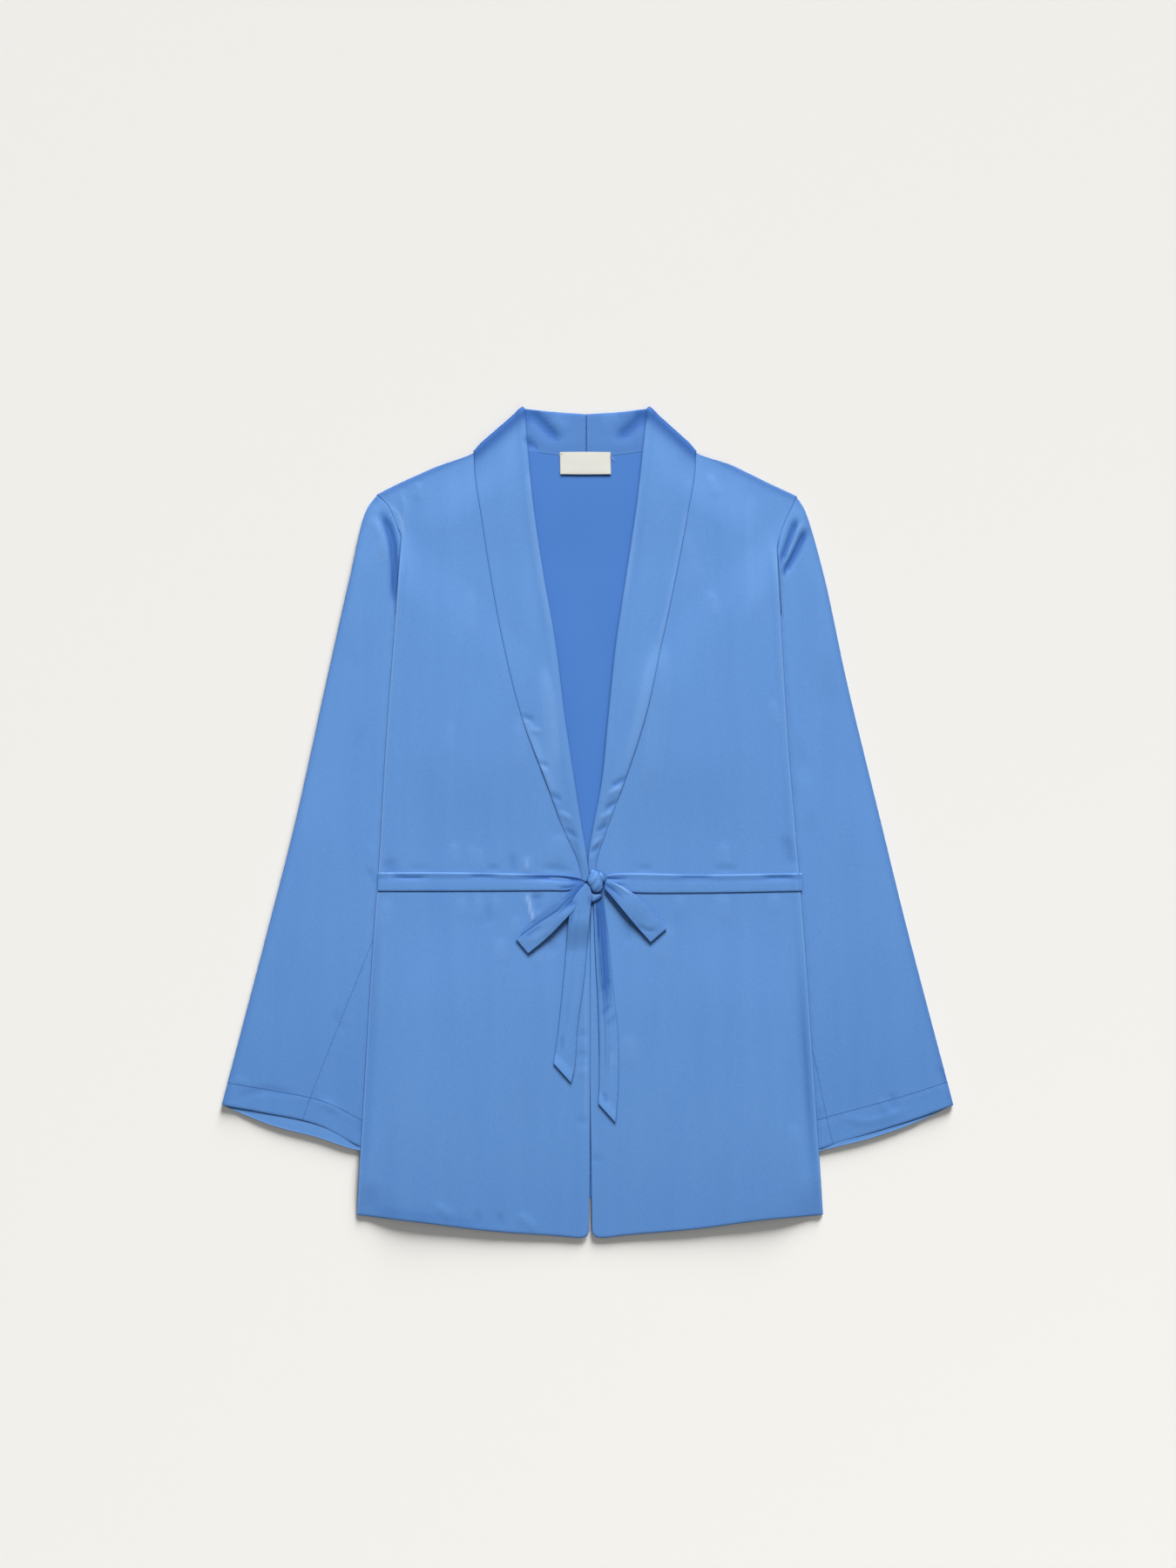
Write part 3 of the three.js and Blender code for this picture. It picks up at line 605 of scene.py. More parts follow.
def sleeveCover(x, y, ramp):
    margin, width = ramp

    def share(side):
        top, foot = outlines["sleeveInner"][side]
        corner = outlines["cuff"][side][0]
        within = ((top[0] + corner[0]) / 2, 0)
        product = 1
        for a, b in ((top, foot), (outlines["sleeveDive"][side], top), (corner, foot)):
            def across(p, q):
                return ((b[0] - a[0]) * (q - a[1]) - (b[1] - a[1]) * (p - a[0])) / math.dist(a, b)

            product = product * smoothstep(across(x, y) * np.sign(across(*within)), -margin - width, -margin)
        return product

    return bySide(x, share)


def backHeight(x, y):
    neck = pile["neckPile"]
    piled = smoothstep(y, neck["foot"], neck["full"]) * (1 - smoothstep(abs(x), neck["inX"], neck["outX"]))
    over = pile["bodyOverSleeve"] * sleeveCover(x, y, pile["backRamp"])
    return pile["floorGap"] + pile["pitch"] * piled + over


def frontBed(x, y):
    # middle of the fronts' cloth, without the rounding along their edges
    air, belt = pile["frontAir"], pile["underBelt"]
    fromSeams = smoothstep(sideDistance(x, y), 0, air["fromSide"])
    fromSeams = fromSeams * smoothstep(shoulderDistance(x, y), 0, air["fromShoulder"])
    fromBelt = smoothstep(abs(y - belt["y"]), belt["flat"], belt["free"])
    free = fromBelt * (air["flat"] + creased(x, y, broadFolds))
    cover = sleeveCover(x, y, pile["frontRamp"]) - sleeveCover(x, y, pile["backRamp"])
    lifted = air["most"] * np.tanh((free + pile["bodyOverSleeve"] * cover) / air["most"])
    seamed = pile["wall"] + pile["seamGap"]
    rise = fromSeams * (pile["layerGap"] - pile["seamGap"] + lifted)
    return backHeight(x, y) + seamed + rise + creased(x, y, frontCreases)


frontCreases = [  # left front, from the shoulder down
    (2.5, 0.7, [(-183, 325), (-179, 309), (-180.5, 273)]),
    (3.5, 0.5, [(-165, 333), (-166, 312)]),
    (4, 0.3, [(-114, 232), (-114, 176)]),
    (5, 0.5, [(-67, 104), (-66, 44)]),
    (4, 0.3, [(-134, 100), (-135, 60)]),
    (4, 0.45, [(-130, -18), (-131, -47)]),
    (3, 0.35, [(-113, -20), (-112, -46)]),
    (3, 0.35, [(-105, -24), (-104, -50)]),
    (4, 0.6, [(-60, -32), (-58, -52)]),
    (4, -0.6, [(-74, -30), (-72, -54)]),
    (6, -0.8, [(-194, -34), (-190, -56)]),
    (7, 0.6, [(-28, -10), (-30, -44)]),
    (2.2, 1.0, [(-59, -70), (-56, -84), (-52, -98)], 0.2),
    (3.5, -0.7, [(-53, -69), (-46, -90)]),
    (4, 0.5, [(-196, -72), (-197, -112)]),
    (3.5, 0.4, [(-123, -72), (-123, -96)]),
    (4, 0.5, [(-106, -70), (-106, -98)]),
    (4, -0.4, [(-97, -80), (-96, -104)]),
    (3, 0.4, [(-89, -70), (-89, -94)]),
    (5, 0.4, [(-85, -112), (-84, -140)]),
    (4, 0.4, [(-70, -90), (-69, -114)]),
    (4, -0.5, [(-40, -108), (-31, -132)]),
    (4, 0.4, [(-49, -118), (-48, -144)]),
    (4, 0.5, [(-201, -76), (-206, -215)]),
    (6, -0.4, [(-211, -352), (-213, -381)]),
    (3.5, 0.6, [(-150, -370), (-130, -388)]),
    (3, -0.5, [(-110, -378), (-104, -394)]),
    (3, -0.5, [(-88, -380), (-82, -396)]),
    (4, 0.7, [(-70, -380), (-48, -400)]),
    (3, -0.5, [(-10, -205), (1, -209)]),
    (3, -0.5, [(-11, -225), (1, -229)]),
    (3, 0.5, [(-10, -241), (1, -246)]),
    (3.5, -0.5, [(-12, -290), (1, -294)]),
    (3, -0.6, [(-50, -44), (-30, -46), (-12, -48)]),
    (2.6, -0.6, [(-100, -45), (-84, -46)]),
    (2.2, -0.4, [(-176, -45), (-150, -46)]),
    (2, -0.9, [(-56, -72), (-50, -74), (-42, -73)]),
    # right front
    (2.6, -0.5, [(46, -45), (66, -46)]),
    (2.2, -0.5, [(120, -45), (150, -46)]),
    (4, 0.5, [(118.6, 341), (125.4, 314)]),
    (5, 0.5, [(159, 324), (163.6, 192)], 0.2),
    (5, 0.4, [(98, 286), (104, 222)]),
    (5, 0.4, [(118.6, 228), (125, 194)]),
    (4, 0.4, [(179, 121), (185, 88)]),
    (6, 0.8, [(73, 176), (68, 88), (60, 26)], 0.2),
    (6, -0.8, [(191, -10), (201, -50)]),
    (5, 0.4, [(132, -18), (133, -48)]),
    (4, 0.4, [(90, -70), (90, -94)]),
    (5, 0.5, [(132, -68), (133, -98)]),
    (4, 0.4, [(182, -68), (183, -92)]),
    (5, 0.6, [(79, -98), (70, -142)]),
    (5, -0.5, [(39, -96), (40, -122)]),
    (6, 0.4, [(39, -205), (40, -240)]),
    (5, -0.5, [(205, -140), (221, -362)], 0.4),
    (5, 0.6, [(199, -290), (214, -382)], 0.2),
    (3, -0.5, [(3, -326), (14, -332)]),
]
paintedFrontLight = [  # painted highlights along thin lines, and painted shade where the height is negative; these add no height
    (1.3, 1.0, [(-59, -69), (-56, -84), (-51.5, -100)], 0.25),
    (1.2, 0.6, [(-60, -36), (-59, -48)]),
    (4, -0.45, [(206, -110), (217, -290), (225, -381)], 0.45),
    (4, -0.2, [(-203, -80), (-211, -230), (-218, -360)], 0.2),
    (5, -0.22, [(-216, -378), (-150, -386), (-90, -394)], 0.2),
    (1.6, 0.3, [(-205, 317), (-184, 300), (-178, 268)]),
    (1.0, 0.16, [(-1.5, -110), (-1.5, -330)], 0.45),
]
edgeRoll = {"radius": 3.0, "drop": 0.8, "rise": 0.8, "from": 4.5, "width": 3.2}


def rounded(distance, radius, drop):
    share = 1 - np.clip(distance / radius, 0, 1)
    return -drop * (1 - np.sqrt(1 - share**2))


def frontHeight(x, y):
    # the side and shoulder edges swell a little and then turn down to the seams
    side, shoulder = sideDistance(x, y), shoulderDistance(x, y)
    belowArm = 1 - smoothstep(y, 240, 285)
    swell = edgeRoll["rise"] * bell((side - edgeRoll["from"]) / edgeRoll["width"]) * belowArm
    turned = rounded(side, edgeRoll["radius"], edgeRoll["drop"]) * belowArm
    onShoulder = rounded(shoulder, edgeRoll["radius"], edgeRoll["drop"])
    return frontBed(x, y) + swell + turned + onShoulder


def withHeight(flatPoints, height):
    return np.column_stack([flatPoints, height])


# Fronts, which meet edge to edge, and the back
body = {
    "armholeShare": 0.1,
    "necklineShare": 0.55,
    "shoulderShare": 0.27,
    "length": 725,
    "across": 200,
    "hem": 20,
    "folds": (3.2, 0.04),  # the crease height that gets the darkest painted shade, and the most painted highlight that a crest may get
    "paintedGlints": (1, 0.65),
    # painted highlight along the side edges, and painted shade along the shoulders and towards the hem
    "shade": {"side": 0.3, "shoulder": 0.75, "hem": 0.14},
}


def neckFold(side):
    # where the collar folds to the back, set in from the outline by the fold's own radius
    roll, edge = (np.array(collarLines[line][side][-1], float) for line in ("roll", "edge"))
    along = (edge - roll) / np.linalg.norm(edge - roll)
    inward = np.array([-along[1], along[0]]) * -signs[side]
    inset = inward * (1.5 * pile["pitch"] + pile["wall"] / 2)
    return {"roll": roll + inset, "edge": edge + inset, "along": along, "inward": inward}


def neckPoint(side):
    fold = neckFold(side)
    return fold["roll"] + fold["along"] * (collarLines["stand"][-1] + pile["seamGap"])


def neckSeam(side):
    points = []
    for stand, roll, edge in zip(collarLines["stand"], collarLines["roll"][side], collarLines["edge"][side]):
        along = (np.array(edge) - roll) / math.dist(edge, roll)
        points.append(roll + along * (stand + pile["seamGap"]))
    return [*points[:-1], neckPoint(side)]


def shoulderLine(side):
    return through([neckPoint(side), neckFold(side)["edge"], *outlines["shoulder"][side]])


def sideEdge(side):
    armhole, sideSeam = through(outlines["armhole"][side]), through(outlines["side"][side])
    return joined((armhole, body["armholeShare"]), (sideSeam, 1))


def makeFront(side):
    size = {"width": 0.235, "length": 0.76, "area": 0.137}
    shoulder, seam = shoulderLine(side), neckSeam(side)
    edge = through([seam[0], *outlines["frontEdge"][side]])
    inner = joined((through(seam[::-1]), body["necklineShare"]), (edge, 1))
    spread = patch(lambda u: shoulder(1 - u), through(outlines["frontHem"][side]), sideEdge(side), inner)

    def place(u, v):
        flat = spread(u, v)
        fromEdge = (1 - u) * body["across"]
        fromHem = (1 - v) * body["length"]
        opening = smoothstep(v, body["necklineShare"], body["necklineShare"] + 0.05)
        height = frontHeight(*flat.T) + rounded(fromEdge, 1.3, 0.45) * opening + rounded(fromHem, 2.5, 0.9)
        armhole = 1 - smoothstep(v, body["armholeShare"], body["armholeShare"] + 0.01)
        return withHeight(flat, height + rounded(u * body["across"], 1.5, 0.3) * armhole)

    def marks(u, v, points):
        fromArmhole = np.where(v < body["armholeShare"], u * body["across"], far)
        x, y, _ = points.T
        # painted light: a highlight along the side edges, shade along the shoulders and towards the hem, and
        # shade and highlight in the creases
        shade = body["shade"]
        crest = shade["side"] * bell((sideDistance(x, y) - 1.3) / 0.9) * smoothstep(280 - y, 0, 30)
        crest = crest - shade["shoulder"] * bell(shoulderDistance(x, y) / 4.5)
        crest = crest - shade["hem"] * smoothstep(-y, 280, 400)
        folds = paintedFoldLight(x, y, frontCreases, *body["folds"]) + paintedFoldLight(x, y, paintedFrontLight, *body["paintedGlints"])
        return {"seam": fromArmhole, "fold": folds + crest}

    piece = clothPiece(f"front_{side}_cloth", lines(205, 2.4), lines(body["length"], 2.8), place,
                       (size["width"], size["length"]), marks=marks, flip=side == "right")
    settle(piece, f"front_{side}")


def makeBack():
    size = {"width": 0.46, "length": 0.76, "area": 0.30, "tuck": 7}
    tuck = size["tuck"]
    seam = through([
        neckPoint("left"),
        (-backNeck["seamX"], backNeck["seamY"] + tuck),
        (centreBack["x"], centreBack["seamY"] + tuck),
        (backNeck["seamX"], backNeck["seamY"] + tuck),
        neckPoint("right"),
    ])
    left, right = shoulderLine("left"), shoulderLine("right")
    share = body["shoulderShare"]
    top = joined((lambda u: left(1 - u), share), (seam, 1 - share), (right, 1))
    spread = patch(top, through(outlines["backHem"]), sideEdge("left"), sideEdge("right"))
    creases = [
        (12, 0.5, [(-30, 330), (-44, 190)]),
        (12, 0.4, [(18, 320), (24, 150)]),
        (9, 0.5, [(-12, 230), (-6, 60)]),
        (16, 0.6, [(60, -120), (75, -360)]),
        (16, 0.6, [(-70, -100), (-84, -350)]),
    ]

    def place(u, v):
        flat = spread(u, v)
        fromHem = (1 - v) * body["length"]
        height = backHeight(*flat.T) + creased(*flat.T, creases) + 0.3 * bell((fromHem - 20) / 2)
        under = smoothstep(u, share, share + 0.04) * (1 - smoothstep(u, 0.96 - share, 1 - share))
        return withHeight(flat, height - 0.55 * under * (1 - smoothstep(v * body["length"], 4.4, 6.2)))

    def marks(u, v, points):
        return {"sewn": (1 - v) * body["length"] - body["hem"], "sewnRun": points[:, 0]}

    piece = clothPiece("back_cloth", lines(410, 3.2), lines(740, 3.6), place,
                       (size["width"], size["length"]), marks=marks, finishes=(satinInside, satin))
    settle(piece, "back")


# Sleeves, each a flattened tube from the armhole to the cuff
sleeve = {
    "length": 625,
    "width": 170,
    "foldRadius": 1.3,
    "armholeShare": 0.3,
    "diveShare": 0.45,
    "air": {"flat": 1.1, "from": 20, "to": 60},
    "cuffDepth": {"left": (22, 24), "right": (23, 29)},  # at the outer fold and at the inner one
    "underShows": {"left": 13, "right": 5},
    "underFrom": 0.93,
    "underRise": 2.7,
    "besideBody": 0.9,
    "seamDrop": 0.85,
    # painted shade, with a little painted highlight, in the creases, and painted shade along the outer fold,
    # at the heads and towards the cuffs
    "folds": (4, 0),
    "headFolds": (1.3, 0.08),
    "shade": {"outerFold": 0.3, "head": 0.4, "cuff": 0.16},
}
sleeveCreases = [
    (16, 1.2, [(-215, 290), (-225, 150)]),
    (26, 1, [(-262, 60), (-300, -190)]),
    (16, 1.2, [(222, 285), (238, 110)]),
    (26, 1, [(262, 60), (300, -190)]),
    # left sleeve
    (8, 0.6, [(-222, 192), (-224, 70)], 0.25),
    (4, 0.7, [(-209, -20), (-207, -52)]),
    (4, -0.8, [(-214, -44), (-206, -62)]),
    (4.5, -0.35, [(-250, -184), (-236, -208)]),
    (3, 0.5, [(-345, -250), (-330, -256)]),
    (4, -0.6, [(-345, -272), (-320, -262), (-280, -268)]),
    (4, 0.6, [(-262, -270), (-240, -284)]),
    (4, -1.0, [(-224, -285), (-214, -310)]),
    # right sleeve
    (6, 0.9, [(192, 166), (200, 113), (209, 54)], 0.25),
    (8, 0.5, [(209, 54), (218, -12)]),
    (5, -0.8, [(345, -236), (352, -262)]),
    (3, -0.6, [(296, -262), (300, -284)]),
    (3, 0.5, [(286, -268), (290, -286)]),
    (4, -0.7, [(228, -276), (224, -296)]),
    (4, 0.5, [(240, -285), (270, -292), (320, -278)]),
]
headCreases = [  # where the sleeve heads are drawn in under the shoulders
    (4.2, -2.2, [(-204, 306), (-193.5, 286), (-189, 264), (-187, 206)], 0.22),
    (5, 0.8, [(-211, 300), (-203, 280), (-199, 250)]),
    (3.4, -1.9, [(205, 298), (197.5, 277), (187, 248)], 0.22),
    (3.4, -2.1, [(214, 288), (202, 262), (188, 238)], 0.22),
    (2.6, 1.1, [(210, 294), (199.5, 270), (189, 245)], 0.22),
]
underarmSeams = {
    "left": [(-208.7, -115), (-244.5, -203.6), (-270, -269), (-279, -295)],
    "right": [(216, -210), (224, -245), (232.5, -286), (240, -318)],
}


def sleeveHeight(x, y, u, v):
    # outside of the upper cloth
    outside = -sideDistance(x, y)
    air = sleeve["air"]
    free = smoothstep(outside, air["from"], air["to"]) * air["flat"]
    laid = pile["sleeveTop"] + free + smoothstep(outside, 1, 14) * creased(x, y, sleeveCreases)
    laid = laid + smoothstep(outside, -2, 2) * creased(x, y, headCreases)
    laid = laid + sleeve["besideBody"] * smoothstep(outside, 0.4, 3) * (1 - smoothstep(outside, 4, 18))
    alongArmhole = 1 - smoothstep(u, sleeve["armholeShare"], 0.38)
    atArmhole = alongArmhole * (1 - smoothstep(v, 0, 0.05)) * smoothstep(outside, -12, 0)
    top = frontBed(x, y) + 0.25 + smoothstep(v, 0.004, 0.02) * creased(x, y, headCreases)
    top = top - sleeve["seamDrop"] * (1 - smoothstep(v * sleeve["length"], 0.8, 2.2))
    return lerp(laid, top, atArmhole)


def makeSleeve(side):
    size = {"width": 0.37, "length": 0.62, "area": 0.185}
    out, tuck = np.array([signs[side] * 0.35, -0.2]), np.array([-signs[side], 0.5])
    armhole, dive = through(outlines["armhole"][side]), outlines["sleeveDive"][side] + out
    innerTop, innerFoot = outlines["sleeveInner"][side]
    top = joined(
        (lambda u: armhole(u) + lerp(tuck, out, smoothstep(u, 0.7, 1)[..., None]), sleeve["armholeShare"]),
        (through([outlines["armhole"][side][-1] + out, dive]), sleeve["diveShare"]),
        (through([dive, innerTop]), 1),
    )
    outline = through(outlines["sleeveEdge"][side])

    def outerEdge(v):
        return outline(v) + tuck * (1 - smoothstep(v, 0, 0.02))[..., None]

    spread = patch(top, through(outlines["cuff"][side]), outerEdge, through([innerTop, innerFoot]))
    radius = sleeve["foldRadius"]
    width = sleeve["width"]

    def around(w):
        # share across from the outer fold, and how far up from the under cloth to the upper one
        run = np.where(w < 0.5, w, 1 - w) * 2 * (width + (math.pi - 2) * radius)
        turn = np.clip(run / radius, 0, math.pi / 2)
        away = radius * (1 - np.cos(turn)) + np.clip(run - radius * math.pi / 2, 0, None)
        end = np.clip((width - away) / radius, 0, 1)
        rise = np.sin(turn) * np.sqrt(1 - (1 - end) ** 2)
        return np.clip(away / width, 0, 1), np.where(w < 0.5, (1 + rise) / 2, (1 - rise) / 2)

    def place(w, v):
        u, up = around(w)
        shows = sleeve["underShows"][side] * np.sin(math.pi * np.minimum(u / 0.85, 1))
        flat = spread(u, v)
        top = sleeveHeight(*flat.T, u, v) - 0.25
        fromCuff = abs(toLine(*flat.T, outlines["cuff"][side])[0])
        top = top + 0.1 * bell((fromCuff - sleeve["cuffDepth"][side][0] + 3) / 3)
        top = top + rounded(fromCuff, 2.5, 0.7)
        flat[:, 1] -= (1 - up) * shows * smoothstep(v, sleeve["underFrom"], 1)
        raised = sleeve["underRise"] * np.sin(math.pi * u) ** 0.5 * smoothstep(v, 0.9, 1)
        under = pile["floorGap"] + rounded(fromCuff, 2.5, -0.3) + raised
        return withHeight(flat, lerp(under, top, up))

    def marks(w, v, points):
        x, y, _ = points.T
        across, upper, shade = around(w)[0], w < 0.5, sleeve["shade"]
        seam, _ = toLine(x, y, underarmSeams[side])
        fromCuff = abs(toLine(x, y, outlines["cuff"][side])[0])
        # painted shade along the outer fold, at the top of the head and towards the cuff, with painted shade
        # and highlight in the creases
        paintedShade = -shade["outerFold"] * bell(across * sleeve["width"] / 3.5)
        paintedShade = paintedShade - shade["head"] * bell((y - 320) / 7)
        paintedShade = paintedShade - shade["cuff"] * smoothstep(-y, 100, 280)
        folds = paintedFoldLight(x, y, headCreases, *sleeve["headFolds"])
        folds = folds + paintedFoldLight(x, y, sleeveCreases, *sleeve["folds"])
        return {
            "sewn": np.where(upper, fromCuff - lerp(*sleeve["cuffDepth"][side], across), far),
            "sewnRun": x,
            "seam": np.where(upper, seam, far),
            "fold": np.where(upper, folds + paintedShade, 0),
        }

    half = lines(width, 2.4) / 2
    columns = np.concatenate([half, 1 - lines(width, 4.5)[-2::-1] / 2])
    piece = clothPiece(f"sleeve_{side}_cloth", columns, lines(sleeve["length"], 3), place,
                       (size["width"], size["length"]), marks=marks, flip=side == "right",
                       finishes=(satin, satinInside, satin, satin), hemFrom=0.96)
    settle(piece, f"sleeve_{side}")


makeBack()
for side in signs:
    makeFront(side)
    makeSleeve(side)
print("body and sleeves made")

# Shawl collar: its fall lies on the front, turns at the roll line and comes back as the stand. It goes over
# the fold at the neck and along the back to the centre seam.
collar = {
    "fall": 0.72,  # share of the section that is fall, and then up to where the turn ends
    "turned": 0.82,
    "frontShare": 0.845,
    "overShare": 0.885,
    "radius": 1.0,
    "swell": 0.7,
    "edgeDrop": 0.7,
    "thick": 0.7,
    "settles": 1.05,  # how far the free edge comes down on to the front
    "standsFree": {"left": (18, 108), "right": (38, 188)},  # where along Y it doesn't
    "end": {"left": ((1.6, -58.5), (-4.6, -59)), "right": ((2.2, -58.5), (8.2, -59))},
    "length": 540,
    # painted shade and highlight in the creases, and painted shade behind the shoulder and along the turn at
    # the back
    "folds": (1.8, 0.12),
    "shade": {"behind": 0.4, "back": 0.5},
}
collarCreases = [
    (4, 0.8, [(-57, 346), (-48, 270), (-32, 182)], 0.15),
    (5, 0.7, [(-43, 156), (-36, 99), (-33.6, 61), (-37, 43)], 0.3),
    (6, 0.8, [(-66, 112), (-58, 82), (-44, 46), (-28, 22)], 0.35),
    (2.5, -0.7, [(-66, 104), (-50, 98)]),
    (2.5, 0.6, [(-58, 90), (-44, 88)]),
    (2.5, -0.7, [(-52, 58), (-36, 54)]),
    (2.5, -0.7, [(-38, 28), (-24, 20)]),
    (2.5, 0.7, [(-30, 10), (-14, 2)]),
    (2.5, -0.7, [(-24, -6), (-8, -16)]),
    (3, 0.7, [(100, 308), (80, 207), (70, 170)], 0.15),
    (5, 0.4, [(74, 186), (62, 150), (48, 90), (36, 44)], 0.3),
    (2.4, -0.9, [(40, 44), (22, 34)]),
    (2.4, 0.7, [(36, 34), (18, 26)]),
    (2.4, -0.9, [(32, 22), (16, 12)]),
    (2.4, 0.8, [(26, 10), (10, 2)]),
    (2.4, -0.9, [(22, -2), (6, -10)]),
    (2.2, 0.8, [(16, -14), (4, -24)]),
    (2.2, -0.8, [(12, -22), (2, -32)]),
    (2.5, 0.5, [(51, 346), (44, 280), (34, 206)], 0.2),
    # across the back of the neck
    (5, -1.7, [(-64, 406), (-46, 390), (-24, 368)], 0.3),
    (3, -1.3, [(-62, 377), (-49, 359)]),
    (6, 0.5, [(-36, 396), (-20, 380)]),
    (5.5, -1.5, [(62, 402), (46, 388), (26, 370)], 0.3),
    (6, 0.4, [(30, 398), (12, 384)]),
]


def makeCollar(side):
    size = {"width": 0.085, "length": 0.56, "area": 0.038}
    fold = neckFold(side)
    sign = signs[side]
    rollEnd, edgeEnd = collar["end"][side]
    rollLine = through([rollEnd, *collarLines["roll"][side][:-1], fold["roll"]])
    edgeLine = through([edgeEnd, *collarLines["edge"][side][:-1], fold["edge"]])
    middle = centreBack["x"] + sign * pile["seamGap"] / 2
    backRoll, backEdge = (
        through([
            fold[line],
            (sign * backNeck[line + "X"], backNeck[line + "Y"]),
            (middle, centreBack[line + "Y"]),
        ])
        for line in ("roll", "edge")
    )
    stands = collarLines["stand"]
    standRows = [y for _, y in collarLines["roll"][side]]
    free = collar["standsFree"][side]

    def place(c, t):
        front, over = collar["frontShare"], collar["overShare"]
        onFront = np.clip(t / front, 0, 1)
        onBack = np.clip((t - over) / (1 - over), 0, 1)
        angle = math.pi * np.clip((t - front) / (over - front), 0, 1)
        behind = (t > over)[:, None]
        roll = np.where(behind, backRoll(onBack), rollLine(onFront))
        edge = np.where(behind, backEdge(onBack), edgeLine(onFront))
        standFront = np.interp(roll[:, 1], standRows, stands)
        standBack = lerp(stands[-1], centreBack["rollY"] - centreBack["seamY"], onBack)
        stand = np.where(behind[:, 0], standBack, standFront)
        width = np.linalg.norm(edge - roll, axis=1)
        along = (edge - roll) / width[:, None]
        fall, turned = collar["fall"], collar["turned"]
        radius = collar["radius"] * lerp(0.3, 1, smoothstep(onFront, 0, 0.06))
        turn = math.pi * (0.5 - np.clip((c - fall) / (turned - fall), 0, 1))
        away = radius - radius * np.cos(turn)
        away = np.where(c < fall, lerp(width, radius, c / fall), away)
        away = np.where(c > turned, lerp(radius, stand, (c - turned) / (1 - turned)), away)
        up = radius * (1 + np.sin(turn))
        onFall = c < fall + 0.04
        lifted = smoothstep(roll[:, 1], free[0] - 20, free[0] + 15)
        lifted = lifted * (1 - smoothstep(roll[:, 1], free[1] - 50, free[1]))
        down = collar["settles"] * (1 - lifted) * smoothstep(away / width, 0.35, 1)
        down = down * (1 - smoothstep(onFront, 0.93, 1))
        swell = collar["swell"] * bell((away - 5) / 5) + rounded(width - away, 2.5, collar["edgeDrop"])
        up = up + np.where(onFall, swell * (1 - onBack) - down * radius / collar["radius"], 0)
        flat = roll + along * away[:, None]
        crease = creased(*flat.T, collarCreases)
        laid = lerp(frontBed(*flat.T), neckFoldHeight + pile["pitch"] / 2, smoothstep(onFront, 0.96, 1))
        visible = np.where(onFall, crease * (1 - smoothstep(onFront, 0.97, 1)), 0)
        reach = (pile["pitch"] / 2 + up) * lerp(0.5, 1, smoothstep(c, 0, 0.14))
        flat = flat - fold["inward"] * (reach * np.sin(angle))[:, None]
        turning = neckFoldHeight + (pile["pitch"] / 2 + up) * np.cos(angle)
        standCrease = np.where((c > fall) & behind[:, 0], crease - 0.35 * smoothstep(c, 0.95, 1), 0)
        height = np.where(t < front, laid + up + visible, turning + standCrease)
        return withHeight(flat, np.maximum(height, pile["floorGap"]))

    def marks(c, t, points):
        # painted shade: darker past the shoulder, darkest at the fold over the neck, and dark along the turn
        # behind it
        behind = smoothstep(t, collar["frontShare"] - 0.05, collar["frontShare"] + 0.01)
        paintedShade = smoothstep(t, 0.815, 0.853) * (1 - smoothstep(t, 0.887, 0.92))
        back = smoothstep(t, collar["overShare"], 0.91) * bell((c - collar["fall"] - 0.05) / 0.045)
        shade = collar["shade"]
        folds = paintedFoldLight(*points[:, :2].T, collarCreases, *collar["folds"])
        folds = folds - shade["behind"] * behind - paintedShade - shade["back"] * back
        return {"seam": (1 - t) * collar["length"], "fold": folds}

    columns = np.concatenate([
        lines(50, 1.6)[:-4] * collar["fall"],
        evenly(9, collar["fall"], collar["turned"])[:-1],
        evenly(10, collar["turned"], 0.978)[:-1],
        [0.978, 0.9865, 0.993, 0.9977, 1],
    ])
    rows = np.concatenate([
        evenly(175, 0, collar["frontShare"])[:-1],
        evenly(16, collar["frontShare"], collar["overShare"])[:-1],
        evenly(28, collar["overShare"], 0.996)[:-1],
        [0.996, 0.998, 0.9992, 1],
    ])
    piece = clothPiece(f"collar_{side}_cloth", columns, rows, place, (size["width"], size["length"]),
                       thick=collar["thick"], marks=marks, flip=side == "left", finishes=(satin, satin))
    settle(piece, f"collar_{side}")


for side in signs:
    makeCollar(side)
print("collar made")

# Label, sewn over the back neck seam by its corners
label = {
    "left": -26.8,
    "right": 22.5,
    "top": 360.5,
    "foot": 339,
    "thick": 0.45,
    "hang": 0.35,
    "thread": 0.16,  # radius
}
labelStitches = [
    {"from": (-26, 359.6), "to": (-28.2, 357.2), "rise": 0.5},
    {"from": (21.8, 359.2), "to": (23.6, 356.4), "rise": 0.5},
    {"from": (21.2, 356), "to": (22.8, 354.4), "rise": 0.4},
    {"from": (23, 355.4), "to": (26.4, 353.2), "rise": 0.7},
    {"from": (-26.2, 358), "to": (-24, 359.4), "rise": 0.4},
]


def labelHeight(y):
    seat = pile["wall"] / 2 + 2 * pile["pitch"]
    return seat + label["hang"] * smoothstep(label["top"] - y, 10, label["top"] - label["foot"])


def makeLabel():
    width, length = label["right"] - label["left"], label["top"] - label["foot"]

    def place(u, v):
        x = lerp(label["left"], label["right"], u) + 0.5 * (v - 0.5)
        y = lerp(label["top"], label["foot"], v) - 0.5 * bell((u - 0.5) / 0.4) * (v - 0.5)
        bow = 0.35 * np.sin(math.pi * u) * np.sin(math.pi * v) + 0.2 * bell((u - 0.93) / 0.1) * v
        return np.column_stack([x, y, labelHeight(y) + bow])

    def marks(u, v, points):
        border = np.minimum(np.minimum(u, 1 - u) * width, np.minimum(v, 1 - v) * length)
        return {"sewn": border}

    piece = clothPiece("label_cloth", lines(width, 1.2), lines(length, 1.2), place,
                       (width * mm, length * mm), label["thick"], marks, finishes=(labelCloth, labelCloth))
    threads = [makeThread(k, row) for k, row in enumerate(labelStitches)]
    settle(piece, "label")


